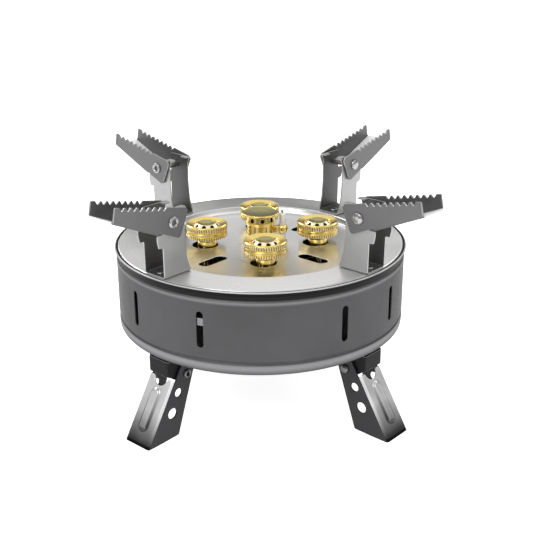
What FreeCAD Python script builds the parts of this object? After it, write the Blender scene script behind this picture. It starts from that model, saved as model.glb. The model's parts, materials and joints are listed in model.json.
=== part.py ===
import FreeCAD, Part
import Sketcher
import math
import os

# Folding camping gas stove: a low painted drum under a stainless top plate, five brass burner heads,
# four toothed pot arms that fold over the top, and four sheet-metal legs that fold in underneath.
# Frame: millimetres, +Z up, origin on the ground under the middle of the drum, front towards -Y.
# Arms and legs are drawn in the radial plane (radius, height) and then turned to their corner.

Vector = FreeCAD.Vector
doc = FreeCAD.newDocument("FoldingStove")

DIMENSIONS = [
    # drum and top plate
    ("sheet", 0.8, "thickness of the pressed drum, top plate and brackets"),
    ("wall_radius", 82.4, "outside of the drum wall"),
    ("rim_radius", 83.2, "outside of the rolled rim"),
    ("rim_height", 91.2, "top of the rolled rim"),
    ("rim_depth", 1.2, "height of the rolled rim"),
    ("drum_bottom", 46.2, "underside of the drum above the ground"),
    ("drum_corner", 4.0, "outer bend radius at the drum's bottom"),
    ("groove_height", 53.2, "height of the groove round the wall"),
    ("groove_depth", 0.5, "depth of that groove"),
    ("groove_half", 0.8, "half height of that groove"),
    ("slot_width", 3.8, "width of a vent slot in the wall"),
    ("slot_height", 20.0, "height of a vent slot"),
    ("slot_middle", 68.4, "height of the middle of a vent slot"),
    ("strap_low", 70.4, "lower edge of the strap inside the wall"),
    ("strap_high", 74.5, "upper edge of that strap"),
    ("strap_reach", 18.0, "angle that the strap covers"),
    ("strap_start", -124.2, "azimuth where the strap begins"),
    ("plate_top", 91.5, "upper face of the top plate's outer ring"),
    ("recess_floor", 88.3, "upper face of the sunken middle"),
    ("recess_radius", 60.0, "radius of the sunken floor"),
    ("recess_mouth", 61.6, "radius of the recess at the ring's level"),
    ("plate_skirt", 86.0, "lower end of the top plate's turned-down edge"),
    ("head_circle", 31.8, "distance of the outer heads from the middle"),
    ("head_hole", 7.4, "radius of the plate's holes round the outer heads"),
    ("neck_hole", 8.1, "radius of the plate's hole round the middle head"),
    ("air_slot_inner", 29.5, "inner end of a diagonal slot in the plate"),
    ("air_slot_outer", 48.5, "outer end of a diagonal slot in the plate"),
    ("air_slot_width", 7.2, "width of a diagonal slot in the plate"),
    # burner heads
    ("stem_radius", 5.3, "outside of an outer head's stem"),
    ("stem_bore", 3.6, "bore of an outer head's stem"),
    ("ring_radius", 11.75, "outside of an outer head's knurled ring"),
    ("ring_top", 101.5, "top of an outer head"),
    ("mouth_radius", 7.6, "inner edge of an outer head's ring"),
    ("port_radius", 1.05, "radius of an outer head's flame port"),
    ("middle_port", 1.3, "radius of the middle head's flame port"),
    ("neck_radius", 7.8, "outside of the middle head's neck"),
    ("band_bottom", 101.3, "lower edge of the middle head's flame band"),
    ("band_radius", 8.7, "radius of the flame band at its lower edge"),
    ("dish_radius", 10.9, "outside of the middle head's dish"),
    ("dish_top", 107.5, "top of the middle head's dish"),
    # gas way
    ("holder_radius", 6.0, "radius of a jet holder"),
    ("holder_top", 77.0, "top of the jet holders and of the hub"),
    ("foot_radius", 9.0, "radius of a jet holder's foot and of the hub"),
    ("foot_height", 3.0, "height of a jet holder's foot"),
    ("pipe_radius", 2.5, "outside of a gas pipe"),
    ("pipe_height", 62.0, "height of the gas pipes' axes"),
    ("pipe_entry", 1.0, "how far a gas pipe enters the block it feeds"),
    ("inlet_place", 52.0, "distance of the gas inlet behind the middle"),
    ("inlet_height", 38.5, "height of the inlet thread's axis"),
    ("inlet_end", 72.0, "outer end of the inlet thread"),
    ("thread_radius", 4.85, "outside of the inlet thread"),
    ("thread_length", 11.0, "length of the inlet thread"),
    # igniter electrode
    ("electrode_place", 12.7, "distance of the electrode from the middle head's axis"),
    ("ceramic_radius", 1.6, "radius of the electrode's ceramic tube"),
    ("ceramic_bottom", 86.0, "lower end of the ceramic tube"),
    ("ceramic_top", 106.2, "upper end of the ceramic tube"),
    ("clip_radius", 3.0, "radius of the brass clip that holds the ceramic tube"),
    ("clip_bottom", 94.4, "lower face of the brass clip"),
    ("clip_top", 99.4, "upper face of the brass clip"),
    # pot arms and their brackets, as (radius, height)
    ("corner_angle", 45.0, "azimuth of the first corner"),
    ("arm_sheet", 1.0, "thickness of an arm or a leg"),
    ("arm_half", 9.5, "half width of a pot arm outside"),
    ("arm_pivot_out", 75.8, "radius of the arm's pivot"),
    ("arm_pivot_up", 121.5, "height of the arm's pivot"),
    ("arm_tip_out", 112.5, "radius of the arm's upper tip"),
    ("arm_tip_up", 137.6, "height of the arm's upper tip"),
    ("arm_heel_out", 66.6, "radius of the arm's upper inner corner"),
    ("arm_heel_up", 127.4, "height of the arm's upper inner corner"),
    ("knee_out", 85.0, "radius where the arm's floor begins"),
    ("knee_up", 116.3, "height of the floor's underside there"),
    ("tooth_count", 8.0, "number of notches along an arm"),
    ("tooth_pitch", 3.94, "distance between notches"),
    ("tooth_width", 3.2, "width of a notch"),
    ("tooth_depth", 1.9, "depth of a notch"),
    ("first_tooth", 13.3, "distance of the first notch from the arm's inner corner"),
    ("bracket_half", 7.8, "half width of an arm bracket outside"),
    ("bracket_outer", 81.4, "radius of an arm bracket's outer edge"),
    ("bracket_stop", 86.0, "radius reached by the bracket's step under the arm's floor"),
    ("bracket_waist", 66.3, "radius of the bracket's inner edge at half height"),
    ("bracket_toe", 63.4, "radius of the bracket's inner edge at the plate"),
    ("bracket_floor", 92.3, "upper face of an arm bracket's floor"),
    ("rivet_radius", 2.0, "shank radius of a pivot rivet"),
    ("pivot_gap", 0.05, "running clearance round a pivot rivet"),
    ("rivet_head", 3.2, "radius of a pivot rivet's head"),
    ("rivet_rise", 1.7, "height of a pivot rivet's head"),
    ("washer_gap", 0.15, "play between a rivet's head and the sheet that turns"),
    # legs and their brackets, as (radius, height)
    ("leg_half", 9.3, "half width of a leg outside"),
    ("leg_pivot_out", 70.0, "radius of the leg's pivot"),
    ("leg_pivot_up", 34.5, "height of the leg's pivot"),
    ("web_top_out", 80.1, "radius of the leg web's upper edge"),
    ("web_top_up", 33.1, "height of the leg web's upper edge"),
    ("foot_out", 100.4, "radius of the leg's outer edge on the ground"),
    ("foot_in", 77.6, "radius of the leg's inner edge on the ground"),
    ("foot_tab", 94.5, "inner end of the leg's turned-in foot"),
    ("web_notch", 4.9, "radius of the half-round notch in the web's upper edge"),
    ("rib_start", 6.4, "distance of the stamped rib from the web's upper edge"),
    ("rib_length", 24.0, "length of the stamped rib"),
    ("rib_width", 5.8, "width of the stamped rib"),
    ("rib_rise", 0.8, "height of the stamped rib"),
    ("upper_hole_out", 76.7, "radius where the upper hole through a leg's sides sits"),
    ("upper_hole_up", 25.3, "height of that hole"),
    ("upper_hole", 2.5, "radius of that hole"),
    ("lower_hole_out", 81.6, "radius where the lower hole through a leg's sides sits"),
    ("lower_hole_up", 14.5, "height of that hole"),
    ("lower_hole", 3.1, "radius of that hole"),
    ("ear_half", 7.9, "half width of a leg bracket outside"),
    ("ear_plate", 81.9, "radius of a leg bracket's outer plate"),
    ("ear_low", 35.4, "lower edge of that plate"),
    ("ear_high", 44.1, "upper edge of that plate"),
    ("ear_inner", 64.5, "radius of a leg bracket's inner end"),
]

sheet = doc.addObject("Spreadsheet::Sheet", "Sizes")
for row, (alias, value, meaning) in enumerate(DIMENSIONS, start=1):
    sheet.set(f"A{row}", meaning)
    sheet.set(f"B{row}", str(value))
    sheet.setAlias(f"B{row}", alias)
doc.recompute()


class Size:
    """A number together with the spreadsheet expression that gives it."""

    def __init__(self, value, text):
        self.value = value
        self.text = text

    def joined(self, other, sign, value):
        other_text = other.text if isinstance(other, Size) else str(other)
        return Size(value, f"({self.text} {sign} {other_text})")

    def __add__(self, other):
        return self.joined(other, "+", self.value + number(other))

    def __sub__(self, other):
        return self.joined(other, "-", self.value - number(other))

    def __mul__(self, other):
        return self.joined(other, "*", self.value * number(other))

    def __truediv__(self, other):
        return self.joined(other, "/", self.value / number(other))

    def __radd__(self, other):
        return self + other

    def __rmul__(self, other):
        return self * other

    def __rsub__(self, other):
        return self * -1 + other

    def __neg__(self):
        return self * -1


def number(size):
    return size.value if isinstance(size, Size) else float(size)


def text_of(size):
    return size.text if isinstance(size, Size) else str(size)


class Sizes:
    """Every spreadsheet cell as an attribute."""


D = Sizes()
for alias, value, meaning in DIMENSIONS:
    setattr(D, alias, Size(value, f"Sizes.{alias}"))

# azimuths of the vent slots, counted from the front; the back mirrors them
SLOT_ANGLES = (-57.3, -25.2, 29.1, 55.8)
# edge of an outer head from its underside up: (in from the ring's radius, down from its top)
RING_EDGE = ((2.4, 7.9), (1.0, 7.3), (1.0, 6.2), (0.15, 6.0), (0.15, 3.6),
             (0.65, 3.4), (0, 3.1), (0, 0.4), (0.45, 0))
# outline of a leg above its web, as (radius, height), the last one a bend about (68.8, 38.6)
LEG_SHOULDER = ((78.0, 37.0), (76.4, 41.0), (75.6, 43.6), (68.8, 43.6), (63.8, 38.6, 68.8, 38.6))
# lower edge of a leg bracket's flange, as (radius, height)
FLANGE_EDGE = ((66.0, 31.5), (73.0, 31.0), (78.2, 33.2))
BRACKET_RIVETS = (68.5, 77.0)     # distances of an arm bracket's rivets from the middle
LEG_RIVETS = (68.0, 75.0)         # distances of a leg bracket's rivets from the middle
RIVET_SHANK = 1.5                 # radius of those rivets
SHANK_RADIUS = 5.0                # radius of the inlet's threaded shank through the drum's floor
INLET_HEX_LENGTH = 4.0            # length of the hexagons on the inlet
CLIP_HALF = 2.3                   # half width of the electrode clip's bridge
WIRE_RADIUS = 0.5                 # radius of the electrode's wire
PORTS = 8                         # flame ports in each head
PORT_STEP = 360 / PORTS

CORNERS = {"rear_right": 0, "rear_left": 1, "front_left": 2, "front_right": 3}
SIDES = {"right": 0, "rear": 1, "left": 2, "front": 3}
sub_parts = {}


# ---------------------------------------------------------------- drawing helpers

def new_body(label, turns=0, first_angle=0, out=0, up=0):
    """A PartDesign body turned about the Z axis by quarter turns, moved outwards and upwards."""
    body = doc.addObject("PartDesign::Body", "Body_" + label)
    body.Label = label
    turned = FreeCAD.Rotation(Vector(0, 0, 1), number(first_angle) + 90 * turns)
    moved = turned.multVec(Vector(number(out), 0, number(up)))
    body.Placement = FreeCAD.Placement(moved, turned)
    sub_parts[label] = body
    return body


def new_sketch(body, plane, offset=None, turn=None):
    """A sketch on one of the body's own planes, moved along its normal and turned if asked."""
    sketch = body.newObject("Sketcher::SketchObject", "Sketch")
    base = [feature for feature in body.Origin.OriginFeatures if feature.Role == plane][0]
    sketch.AttachmentSupport = [(base, "")]
    sketch.MapMode = "FlatFace"
    if turn is not None:
        axis, angle = turn
        turned = FreeCAD.Rotation(axis, number(angle))
        sketch.AttachmentOffset = FreeCAD.Placement(Vector(0, 0, 0), turned)
    if offset is not None:
        for letter, amount in zip("xyz", offset):
            sketch.setExpression(f"AttachmentOffset.Base.{letter}", text_of(amount))
    return sketch


def fix_distance(sketch, kind, edge, end, amount):
    """Holds one point of an edge at a distance from the sketch's origin, along X or along Y."""
    if abs(number(amount)) < 1e-9:
        axis = -2 if kind == "DistanceX" else -1
        sketch.addConstraint(Sketcher.Constraint("PointOnObject", edge, end, axis))
        return
    origin_edge, origin_end = -1, 1
    index = sketch.addConstraint(
        Sketcher.Constraint(kind, origin_edge, origin_end, edge, end, number(amount)))
    if isinstance(amount, Size):
        sketch.setExpression(f"Constraints[{index}]", amount.text)


def fix_point(sketch, edge, end, x, y):
    fix_distance(sketch, "DistanceX", edge, end, x)
    fix_distance(sketch, "DistanceY", edge, end, y)


def arc_middle(start, end, centre):
    """The point halfway along an arc; a half circle runs anticlockwise."""
    towards = (start - centre) + (end - centre)
    if towards.Length < 1e-6:
        towards = Vector(centre.y - start.y, start.x - centre.x, 0)
    return centre + towards.normalize() * (start - centre).Length


def nearest_end(sketch, edge, corner):
    geometry = sketch.Geometry[edge]
    to_start = (geometry.StartPoint - corner).Length
    to_end = (geometry.EndPoint - corner).Length
    return 1 if to_start < to_end else 2


def draw_outline(sketch, points):
    """A closed outline, anticlockwise. A point (x, y, centre_x, centre_y) is reached by an arc."""
    corners = [Vector(number(point[0]), number(point[1]), 0) for point in points]
    count = len(points)
    first = sketch.GeometryCount
    for index, start in enumerate(corners):
        goal = points[(index + 1) % count]
        end = corners[(index + 1) % count]
        if len(goal) == 2:
            sketch.addGeometry(Part.LineSegment(start, end))
        else:
            centre = Vector(number(goal[2]), number(goal[3]), 0)
            middle = arc_middle(start, end, centre)
            if (start - centre).cross(end - centre).z < -1e-6:
                start, end = end, start
            sketch.addGeometry(Part.Arc(start, middle, end))
    for index, corner in enumerate(corners):
        before = first + (index - 1) % count
        after = first + index
        end_before = nearest_end(sketch, before, corner)
        end_after = nearest_end(sketch, after, corner)
        sketch.addConstraint(Sketcher.Constraint("Coincident", before, end_before, after, end_after))
        fix_point(sketch, after, end_after, points[index][0], points[index][1])
    for index, point in enumerate(points):
        if len(point) == 4:
            chord = corners[index] - corners[index - 1]
            arc = first + (index - 1) % count
            if abs(chord.x) >= abs(chord.y):
                fix_distance(sketch, "DistanceY", arc, 3, point[3])
            else:
                fix_distance(sketch, "DistanceX", arc, 3, point[2])


def draw_circle(sketch, x, y, radius):
    centre = Vector(number(x), number(y), 0)
    edge = sketch.addGeometry(Part.Circle(centre, Vector(0, 0, 1), number(radius)))
    fix_point(sketch, edge, 3, x, y)
    index = sketch.addConstraint(Sketcher.Constraint("Radius", edge, number(radius)))
    sketch.setExpression(f"Constraints[{index}]", text_of(radius))


def draw_slot(sketch, x, y, width, height):
    """An upright slot with round ends."""
    half = width / 2
    straight = (height - width) / 2
    draw_outline(sketch, [
        (x + half, y + straight),
        (x - half, y + straight, x, y + straight),
        (x - half, y - straight),
        (x + half, y - straight, x, y - straight),
    ])


def add_feature(body, kind, sketch, length=None, both_sides=False, reverse=False):
    """A pad or pocket of one sketch, with its length bound to the spreadsheet."""
    feature = body.newObject(kind, kind.split("::")[1])
    feature.Profile = sketch
    feature.Midplane = both_sides
    feature.Reversed = reverse
    feature.setExpression("Length", text_of(length))
    body.Tip = feature
    return feature


def pad(body, sketch, length, **sides):
    return add_feature(body, "PartDesign::Pad", sketch, length, **sides)


def cut(body, sketch, length, **sides):
    return add_feature(body, "PartDesign::Pocket", sketch, length, **sides)


def revolve(body, sketch):
    feature = body.newObject("PartDesign::Revolution", "Revolution")
    feature.Profile = sketch
    feature.ReferenceAxis = (sketch, ["V_Axis"])
    feature.Angle = 360
    body.Tip = feature


def repeat_round(body, feature, count):
    """Repeats a feature evenly about the body's Z axis."""
    pattern = body.newObject("PartDesign::PolarPattern", "PolarPattern")
    pattern.Originals = [feature]
    axis = [part for part in body.Origin.OriginFeatures if part.Role == "Z_Axis"][0]
    pattern.Axis = (axis, [""])
    pattern.Angle = 360
    pattern.Occurrences = count
    body.Tip = pattern


def turned_body(label, points, **place):
    """A body turned from one outline of (radius, height) points."""
    body = new_body(label, **place)
    sketch = new_sketch(body, "XZ_Plane")
    draw_outline(sketch, points)
    revolve(body, sketch)
    return body


def channel(label, outer, hollow, half, thickness, **place):
    """Folded sheet: a side outline as wide as the piece, less what lies between its two walls."""
    body = new_body(label, **place)
    outline = new_sketch(body, "XZ_Plane")
    draw_outline(outline, outer)
    pad(body, outline, half * 2, both_sides=True)
    inside = new_sketch(body, "XZ_Plane")
    draw_outline(inside, hollow)
    cut(body, inside, (half - thickness) * 2, both_sides=True)
    return body


def cross_hole(body, out, up, radius, half):
    """A round hole through both walls of a channel."""
    sketch = new_sketch(body, "XZ_Plane")
    draw_circle(sketch, out, up, radius)
    cut(body, sketch, half * 3, both_sides=True)


def rivet_holes(body, height, distances):
    """Holes along the radial line for the rivets that hold a bracket."""
    sketch = new_sketch(body, "XY_Plane", offset=(0, 0, height))
    for out in distances:
        draw_circle(sketch, out, 0, RIVET_SHANK)
    cut(body, sketch, D.sheet * 4, both_sides=True)


# ---------------------------------------------------------------- drum and top plate

def make_drum():
    outer = D.wall_radius
    inner = D.wall_radius - D.sheet
    floor = D.drum_bottom
    bend_out = outer - D.drum_corner
    bend_up = floor + D.drum_corner
    groove_low = D.groove_height - D.groove_half
    groove_high = D.groove_height + D.groove_half
    rim_low = D.rim_height - D.rim_depth
    body = turned_body("drum", [
        (0, floor),
        (bend_out, floor),
        (outer, bend_up, bend_out, bend_up),
        (outer, groove_low),
        (outer - D.groove_depth, D.groove_height),
        (outer, groove_high),
        (outer, rim_low),
        (D.rim_radius, rim_low),
        (D.rim_radius, D.rim_height),
        (inner, D.rim_height),
        (inner, bend_up),
        (bend_out, floor + D.sheet, bend_out, bend_up),
        (0, floor + D.sheet),
    ])
    for angle in SLOT_ANGLES:
        for turn in (angle, 180 - angle):
            sketch = new_sketch(body, "XZ_Plane", turn=(Vector(0, 1, 0), turn))
            draw_slot(sketch, 0, D.slot_middle, D.slot_width, D.slot_height)
            cut(body, sketch, D.wall_radius * 1.1, reverse=True)
    under = new_sketch(body, "XY_Plane", offset=(0, 0, floor))
    draw_circle(under, 0, D.inlet_place, SHANK_RADIUS)
    for turn in CORNERS.values():
        angle = math.radians(number(D.corner_angle) + 90 * turn)
        for out in LEG_RIVETS:
            draw_circle(under, out * math.cos(angle), out * math.sin(angle), RIVET_SHANK)
    cut(body, under, D.sheet * 4, both_sides=True)


def make_wall_strap():
    """A short steel strap on the inside of the wall, behind the front left vent slot."""
    inner = D.wall_radius - D.sheet
    height = D.strap_high - D.strap_low
    start = FreeCAD.Rotation(Vector(0, 0, 1), number(D.strap_start))
    sector = primitive("Cylinder", "StrapSector", start, (0, 0, D.strap_low),
                       Radius=inner, Height=height, Angle=D.strap_reach)
    room = primitive("Cylinder", "StrapRoom", start, (0, 0, D.strap_low - 1),
                     Radius=inner - D.sheet, Height=height + 2, Angle=D.strap_reach)
    named("wall_strap", less("Strap", sector, room))


def make_top_plate():
    lower = D.plate_top - D.sheet
    edge = D.wall_radius - D.sheet
    body = turned_body("top_plate", [
        (0, D.recess_floor - D.sheet),
        (D.recess_radius + D.sheet, D.recess_floor - D.sheet),
        (D.recess_mouth + D.sheet, lower),
        (edge - D.sheet, lower),
        (edge - D.sheet, D.plate_skirt),
        (edge, D.plate_skirt),
        (edge, D.plate_top),
        (D.recess_mouth, D.plate_top),
        (D.recess_radius, D.recess_floor),
        (0, D.recess_floor),
    ])
    holes = new_sketch(body, "XY_Plane", offset=(0, 0, D.plate_top))
    draw_circle(holes, 0, 0, D.neck_hole)
    draw_circle(holes, D.electrode_place, 0, D.ceramic_radius + 0.3)
    for turn in SIDES.values():
        angle = math.radians(90 * turn)
        draw_circle(holes, D.head_circle * math.cos(angle), D.head_circle * math.sin(angle), D.head_hole)
    for turn in CORNERS.values():
        angle = math.radians(number(D.corner_angle) + 90 * turn)
        for out in BRACKET_RIVETS:
            draw_circle(holes, out * math.cos(angle), out * math.sin(angle), RIVET_SHANK)
    cut(body, holes, D.plate_top, both_sides=True)
    slot = new_sketch(body, "XY_Plane", offset=(0, 0, D.plate_top),
                      turn=(Vector(0, 0, 1), D.corner_angle - 90))
    middle = (D.air_slot_inner + D.air_slot_outer) / 2
    draw_slot(slot, 0, middle, D.air_slot_width, D.air_slot_outer - D.air_slot_inner)
    air_slot = cut(body, slot, D.plate_top, both_sides=True)
    repeat_round(body, air_slot, 4)


# ---------------------------------------------------------------- burner heads

def make_outer_head(side, turns):
    place = {"turns": turns, "out": D.head_circle}
    top = D.ring_top
    shelf = top - 4.5
    turned_body("burner_head_" + side, [
        (D.stem_bore, D.holder_top),
        (D.stem_radius, D.holder_top),
        (D.stem_radius, top - 10.1),
        *[(D.ring_radius - inset, top - drop) for inset, drop in RING_EDGE],
        (D.mouth_radius, top - 0.6),
        (D.mouth_radius - 0.2, shelf),
        (D.stem_bore + 1.4, shelf),
        (D.stem_bore, shelf - 1.5),
    ], **place)
    cap = turned_body("burner_cap_" + side, [
        (D.stem_bore - 0.2, shelf),
        (D.mouth_radius - 0.2, shelf),
        (D.mouth_radius - 0.2, shelf + 1.0),
        (D.mouth_radius - 0.7, shelf + 1.4),
        (D.mouth_radius - 2.7, top - 0.3),
        (D.mouth_radius - 2.7, top + 0.2),
        (D.mouth_radius - 3.2, top + 0.2),
        (0, top - 0.6),
        (0, top - 1.6),
        (D.stem_bore - 0.2, top - 1.6),
    ], **place)
    port = new_sketch(cap, "YZ_Plane", turn=(Vector(0, 1, 0), PORT_STEP / 2))
    draw_circle(port, 0, shelf + 2.4, D.port_radius)
    repeat_round(cap, cut(cap, port, D.ring_radius, reverse=True), PORTS)


def make_middle_head():
    neck_top = D.band_bottom - 0.6
    band_top = D.dish_top - 1.5
    body = turned_body("burner_head_middle", [
        (D.neck_radius - 2.8, D.holder_top),
        (D.neck_radius, D.holder_top),
        (D.neck_radius, neck_top),
        (D.band_radius, D.band_bottom),
        (D.band_radius, D.band_bottom + 0.5),
        (D.band_radius - 1.5, band_top),
        (D.neck_radius - 1.8, band_top),
        (D.neck_radius - 1.8, neck_top),
        (D.neck_radius - 2.8, neck_top - 1),
    ])
    port = new_sketch(body, "YZ_Plane")
    draw_circle(port, 0, D.band_bottom + 2.6, D.middle_port)
    repeat_round(body, cut(body, port, D.ring_radius, reverse=True), PORTS)
    turned_body("burner_cap_middle", [
        (0, band_top - 1.4),
        (D.neck_radius - 1.8, band_top - 1.4),
        (D.neck_radius - 1.8, band_top),
        (D.neck_radius, band_top),
        (D.dish_radius - 0.4, D.dish_top - 1.0),
        (D.dish_radius, D.dish_top - 0.6),
        (D.dish_radius, D.dish_top),
        (D.dish_radius - 0.5, D.dish_top),
        (0, D.dish_top - 1.2),
    ])


# ---------------------------------------------------------------- primitives for the gas way

def primitive(kind, label, rotation=None, base=(0, 0, 0), **sizes):
    """A Part primitive with its sizes and its place bound to the spreadsheet."""
    item = doc.addObject("Part::" + kind, label)
    if rotation is not None:
        item.Placement = FreeCAD.Placement(Vector(0, 0, 0), rotation)
    for letter, amount in zip("xyz", base):
        item.setExpression(f"Placement.Base.{letter}", text_of(amount))
    for name, amount in sizes.items():
        item.setExpression(name, text_of(amount))
    return item


def upright(label, x, y, bottom, top, radius):
    return primitive("Cylinder", label, base=(x, y, bottom), Radius=radius, Height=top - bottom)


def backwards(label, x, z, start, end, radius):
    """A cylinder that runs towards +Y."""
    turned = FreeCAD.Rotation(Vector(1, 0, 0), -90)
    return primitive("Cylinder", label, turned, (x, start, z), Radius=radius, Height=end - start)


def joined(label, pieces):
    fuse = doc.addObject("Part::MultiFuse", label)
    fuse.Shapes = pieces
    return fuse


def less(label, base, tool):
    result = doc.addObject("Part::Cut", label)
    result.Base = base
    result.Tool = tool
    return result


def named(label, item):
    item.Label = label
    sub_parts[label] = item


def make_gas_way():
    floor = D.drum_bottom + D.sheet
    named("manifold_hub", upright("Hub", 0, 0, floor, D.holder_top, D.foot_radius))
    for side, turns in SIDES.items():
        angle = math.radians(90 * turns)
        x = D.head_circle * round(math.cos(angle))
        y = D.head_circle * round(math.sin(angle))
        foot = upright("Foot_" + side, x, y, floor, floor + D.foot_height, D.foot_radius)
        column = upright("Column_" + side, x, y, floor, D.holder_top, D.holder_radius)
        named("jet_holder_" + side, joined("Holder_" + side, [foot, column]))
        start = D.foot_radius - D.pipe_entry
        length = D.head_circle - D.holder_radius + D.pipe_entry - start
        turned = FreeCAD.Rotation(Vector(0, 0, 1), 90 * turns) * FreeCAD.Rotation(Vector(0, 1, 0), 90)
        place = (start * round(math.cos(angle)), start * round(math.sin(angle)), D.pipe_height)
        pipe = primitive("Cylinder", "Pipe_" + side, turned, place, Radius=D.pipe_radius, Height=length)
        named("manifold_pipe_" + side, pipe)
    feed_start = D.head_circle + D.holder_radius - D.pipe_entry
    feed_end = D.inlet_place - SHANK_RADIUS + D.pipe_entry
    named("feed_pipe", backwards("Feed", 0, D.pipe_height, feed_start, feed_end, D.pipe_radius))


def make_inlet():
    shank_top = D.pipe_height + D.pipe_radius + 1.5
    seal_bottom = D.drum_bottom - D.sheet
    thread_start = D.inlet_end - D.thread_length
    nut_start = thread_start - INLET_HEX_LENGTH
    sideways = FreeCAD.Rotation(Vector(1, 0, 0), -90)
    pieces = [
        upright("InletShank", 0, D.inlet_place, D.inlet_height, shank_top, SHANK_RADIUS),
        upright("InletCollar", 0, D.inlet_place, seal_bottom - 2, seal_bottom, D.foot_radius - 0.5),
        upright("InletElbow", 0, D.inlet_place, D.inlet_height - 6, seal_bottom - 2, D.holder_radius),
        backwards("InletNeck", 0, D.inlet_height, D.inlet_place, nut_start, D.holder_radius - 0.5),
        primitive("Prism", "InletHex", sideways, (0, nut_start, D.inlet_height),
                  Circumradius=D.holder_radius + 1, Height=INLET_HEX_LENGTH),
        backwards("InletThread", 0, D.inlet_height, thread_start, D.inlet_end, D.thread_radius),
    ]
    bore = backwards("InletBore", 0, D.inlet_height, D.inlet_place, D.inlet_end + 1, D.pipe_radius)
    named("gas_inlet", less("Inlet", joined("InletSolid", pieces), bore))
    named("inlet_seal", less(
        "Seal",
        upright("SealDisc", 0, D.inlet_place, seal_bottom, D.drum_bottom, D.foot_radius - 0.5),
        upright("SealHole", 0, D.inlet_place, seal_bottom - 1, D.drum_bottom + 1, SHANK_RADIUS)))
    floor = D.drum_bottom + D.sheet
    nut = primitive("Prism", "NutSolid", None, (0, D.inlet_place, floor),
                    Circumradius=D.foot_radius, Height=INLET_HEX_LENGTH)
    hole = upright("NutHole", 0, D.inlet_place, floor - 1, floor + INLET_HEX_LENGTH + 1, SHANK_RADIUS)
    named("inlet_nut", less("Nut", nut, hole))


def make_electrode():
    x = D.electrode_place
    wire_top = D.ceramic_top + 1.8
    lug = joined("ClipSolid", [
        upright("ClipRound", x, 0, D.clip_bottom, D.clip_top, D.clip_radius),
        primitive("Box", "ClipBridge", None, (D.neck_radius - 1, -CLIP_HALF, D.clip_bottom),
                  Length=x - D.neck_radius + 1, Width=2 * CLIP_HALF, Height=D.clip_top - D.clip_bottom),
    ])
    room = joined("ClipRoom", [
        upright("ClipNeckRoom", 0, 0, D.clip_bottom - 1, D.clip_top + 1, D.neck_radius),
        upright("ClipTubeRoom", x, 0, D.clip_bottom - 1, D.clip_top + 1, D.ceramic_radius),
    ])
    named("electrode_clip", less("Clip", lug, room))
    tube = upright("CeramicSolid", x, 0, D.ceramic_bottom, D.ceramic_top, D.ceramic_radius)
    wire_room = upright("CeramicBore", x, 0, D.ceramic_bottom - 1, D.ceramic_top + 1, WIRE_RADIUS)
    named("electrode_ceramic", less("Ceramic", tube, wire_room))
    tip_start = D.dish_radius + 0.8
    tip = primitive("Cylinder", "WireTip", FreeCAD.Rotation(Vector(0, 1, 0), 90),
                    (tip_start, 0, wire_top - 0.7), Radius=WIRE_RADIUS - 0.1, Height=x - tip_start)
    stem = upright("WireStem", x, 0, D.ceramic_bottom, wire_top, WIRE_RADIUS)
    named("electrode_wire", joined("Wire", [stem, tip]))


# ---------------------------------------------------------------- pot arms

def make_arm_bracket(corner, turns):
    place = {"turns": turns, "first_angle": D.corner_angle}
    base = D.plate_top
    top = D.arm_heel_up
    step = D.knee_up - 0.3
    body = channel("arm_bracket_" + corner, [
        (D.bracket_outer, base),
        (D.bracket_outer, step - 7.6),
        (D.bracket_stop - 1.8, step - 6.5),
        (D.bracket_stop, step - 2.0),
        (D.bracket_stop, step),
        (D.bracket_outer, step),
        (D.bracket_outer, top),
        (D.bracket_waist - 1.5, top),
        (D.bracket_waist, top - 4.2),
        (D.bracket_waist, top - 16),
        (D.bracket_waist - 1.1, top - 28),
        (D.bracket_toe, base),
    ], [
        (90, D.bracket_floor),
        (90, top + 1),
        (60, top + 1),
        (60, D.bracket_floor),
    ], D.bracket_half, D.sheet, **place)
    cross_hole(body, D.arm_pivot_out, D.arm_pivot_up, D.rivet_radius, D.bracket_half)
    ears = new_sketch(body, "XZ_Plane")
    draw_outline(ears, [(70.0, top - D.sheet), (70.0, top), (64.8, top), (65.1, top - D.sheet)])
    pad(body, ears, D.bracket_half * 2 - 0.4, both_sides=True)
    gap = new_sketch(body, "XZ_Plane")
    draw_outline(gap, [(71, top - 2), (71, top + 1), (63, top + 1), (63, top - 2)])
    cut(body, gap, D.bracket_half, both_sides=True)
    rivet_holes(body, base, BRACKET_RIVETS)


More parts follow.
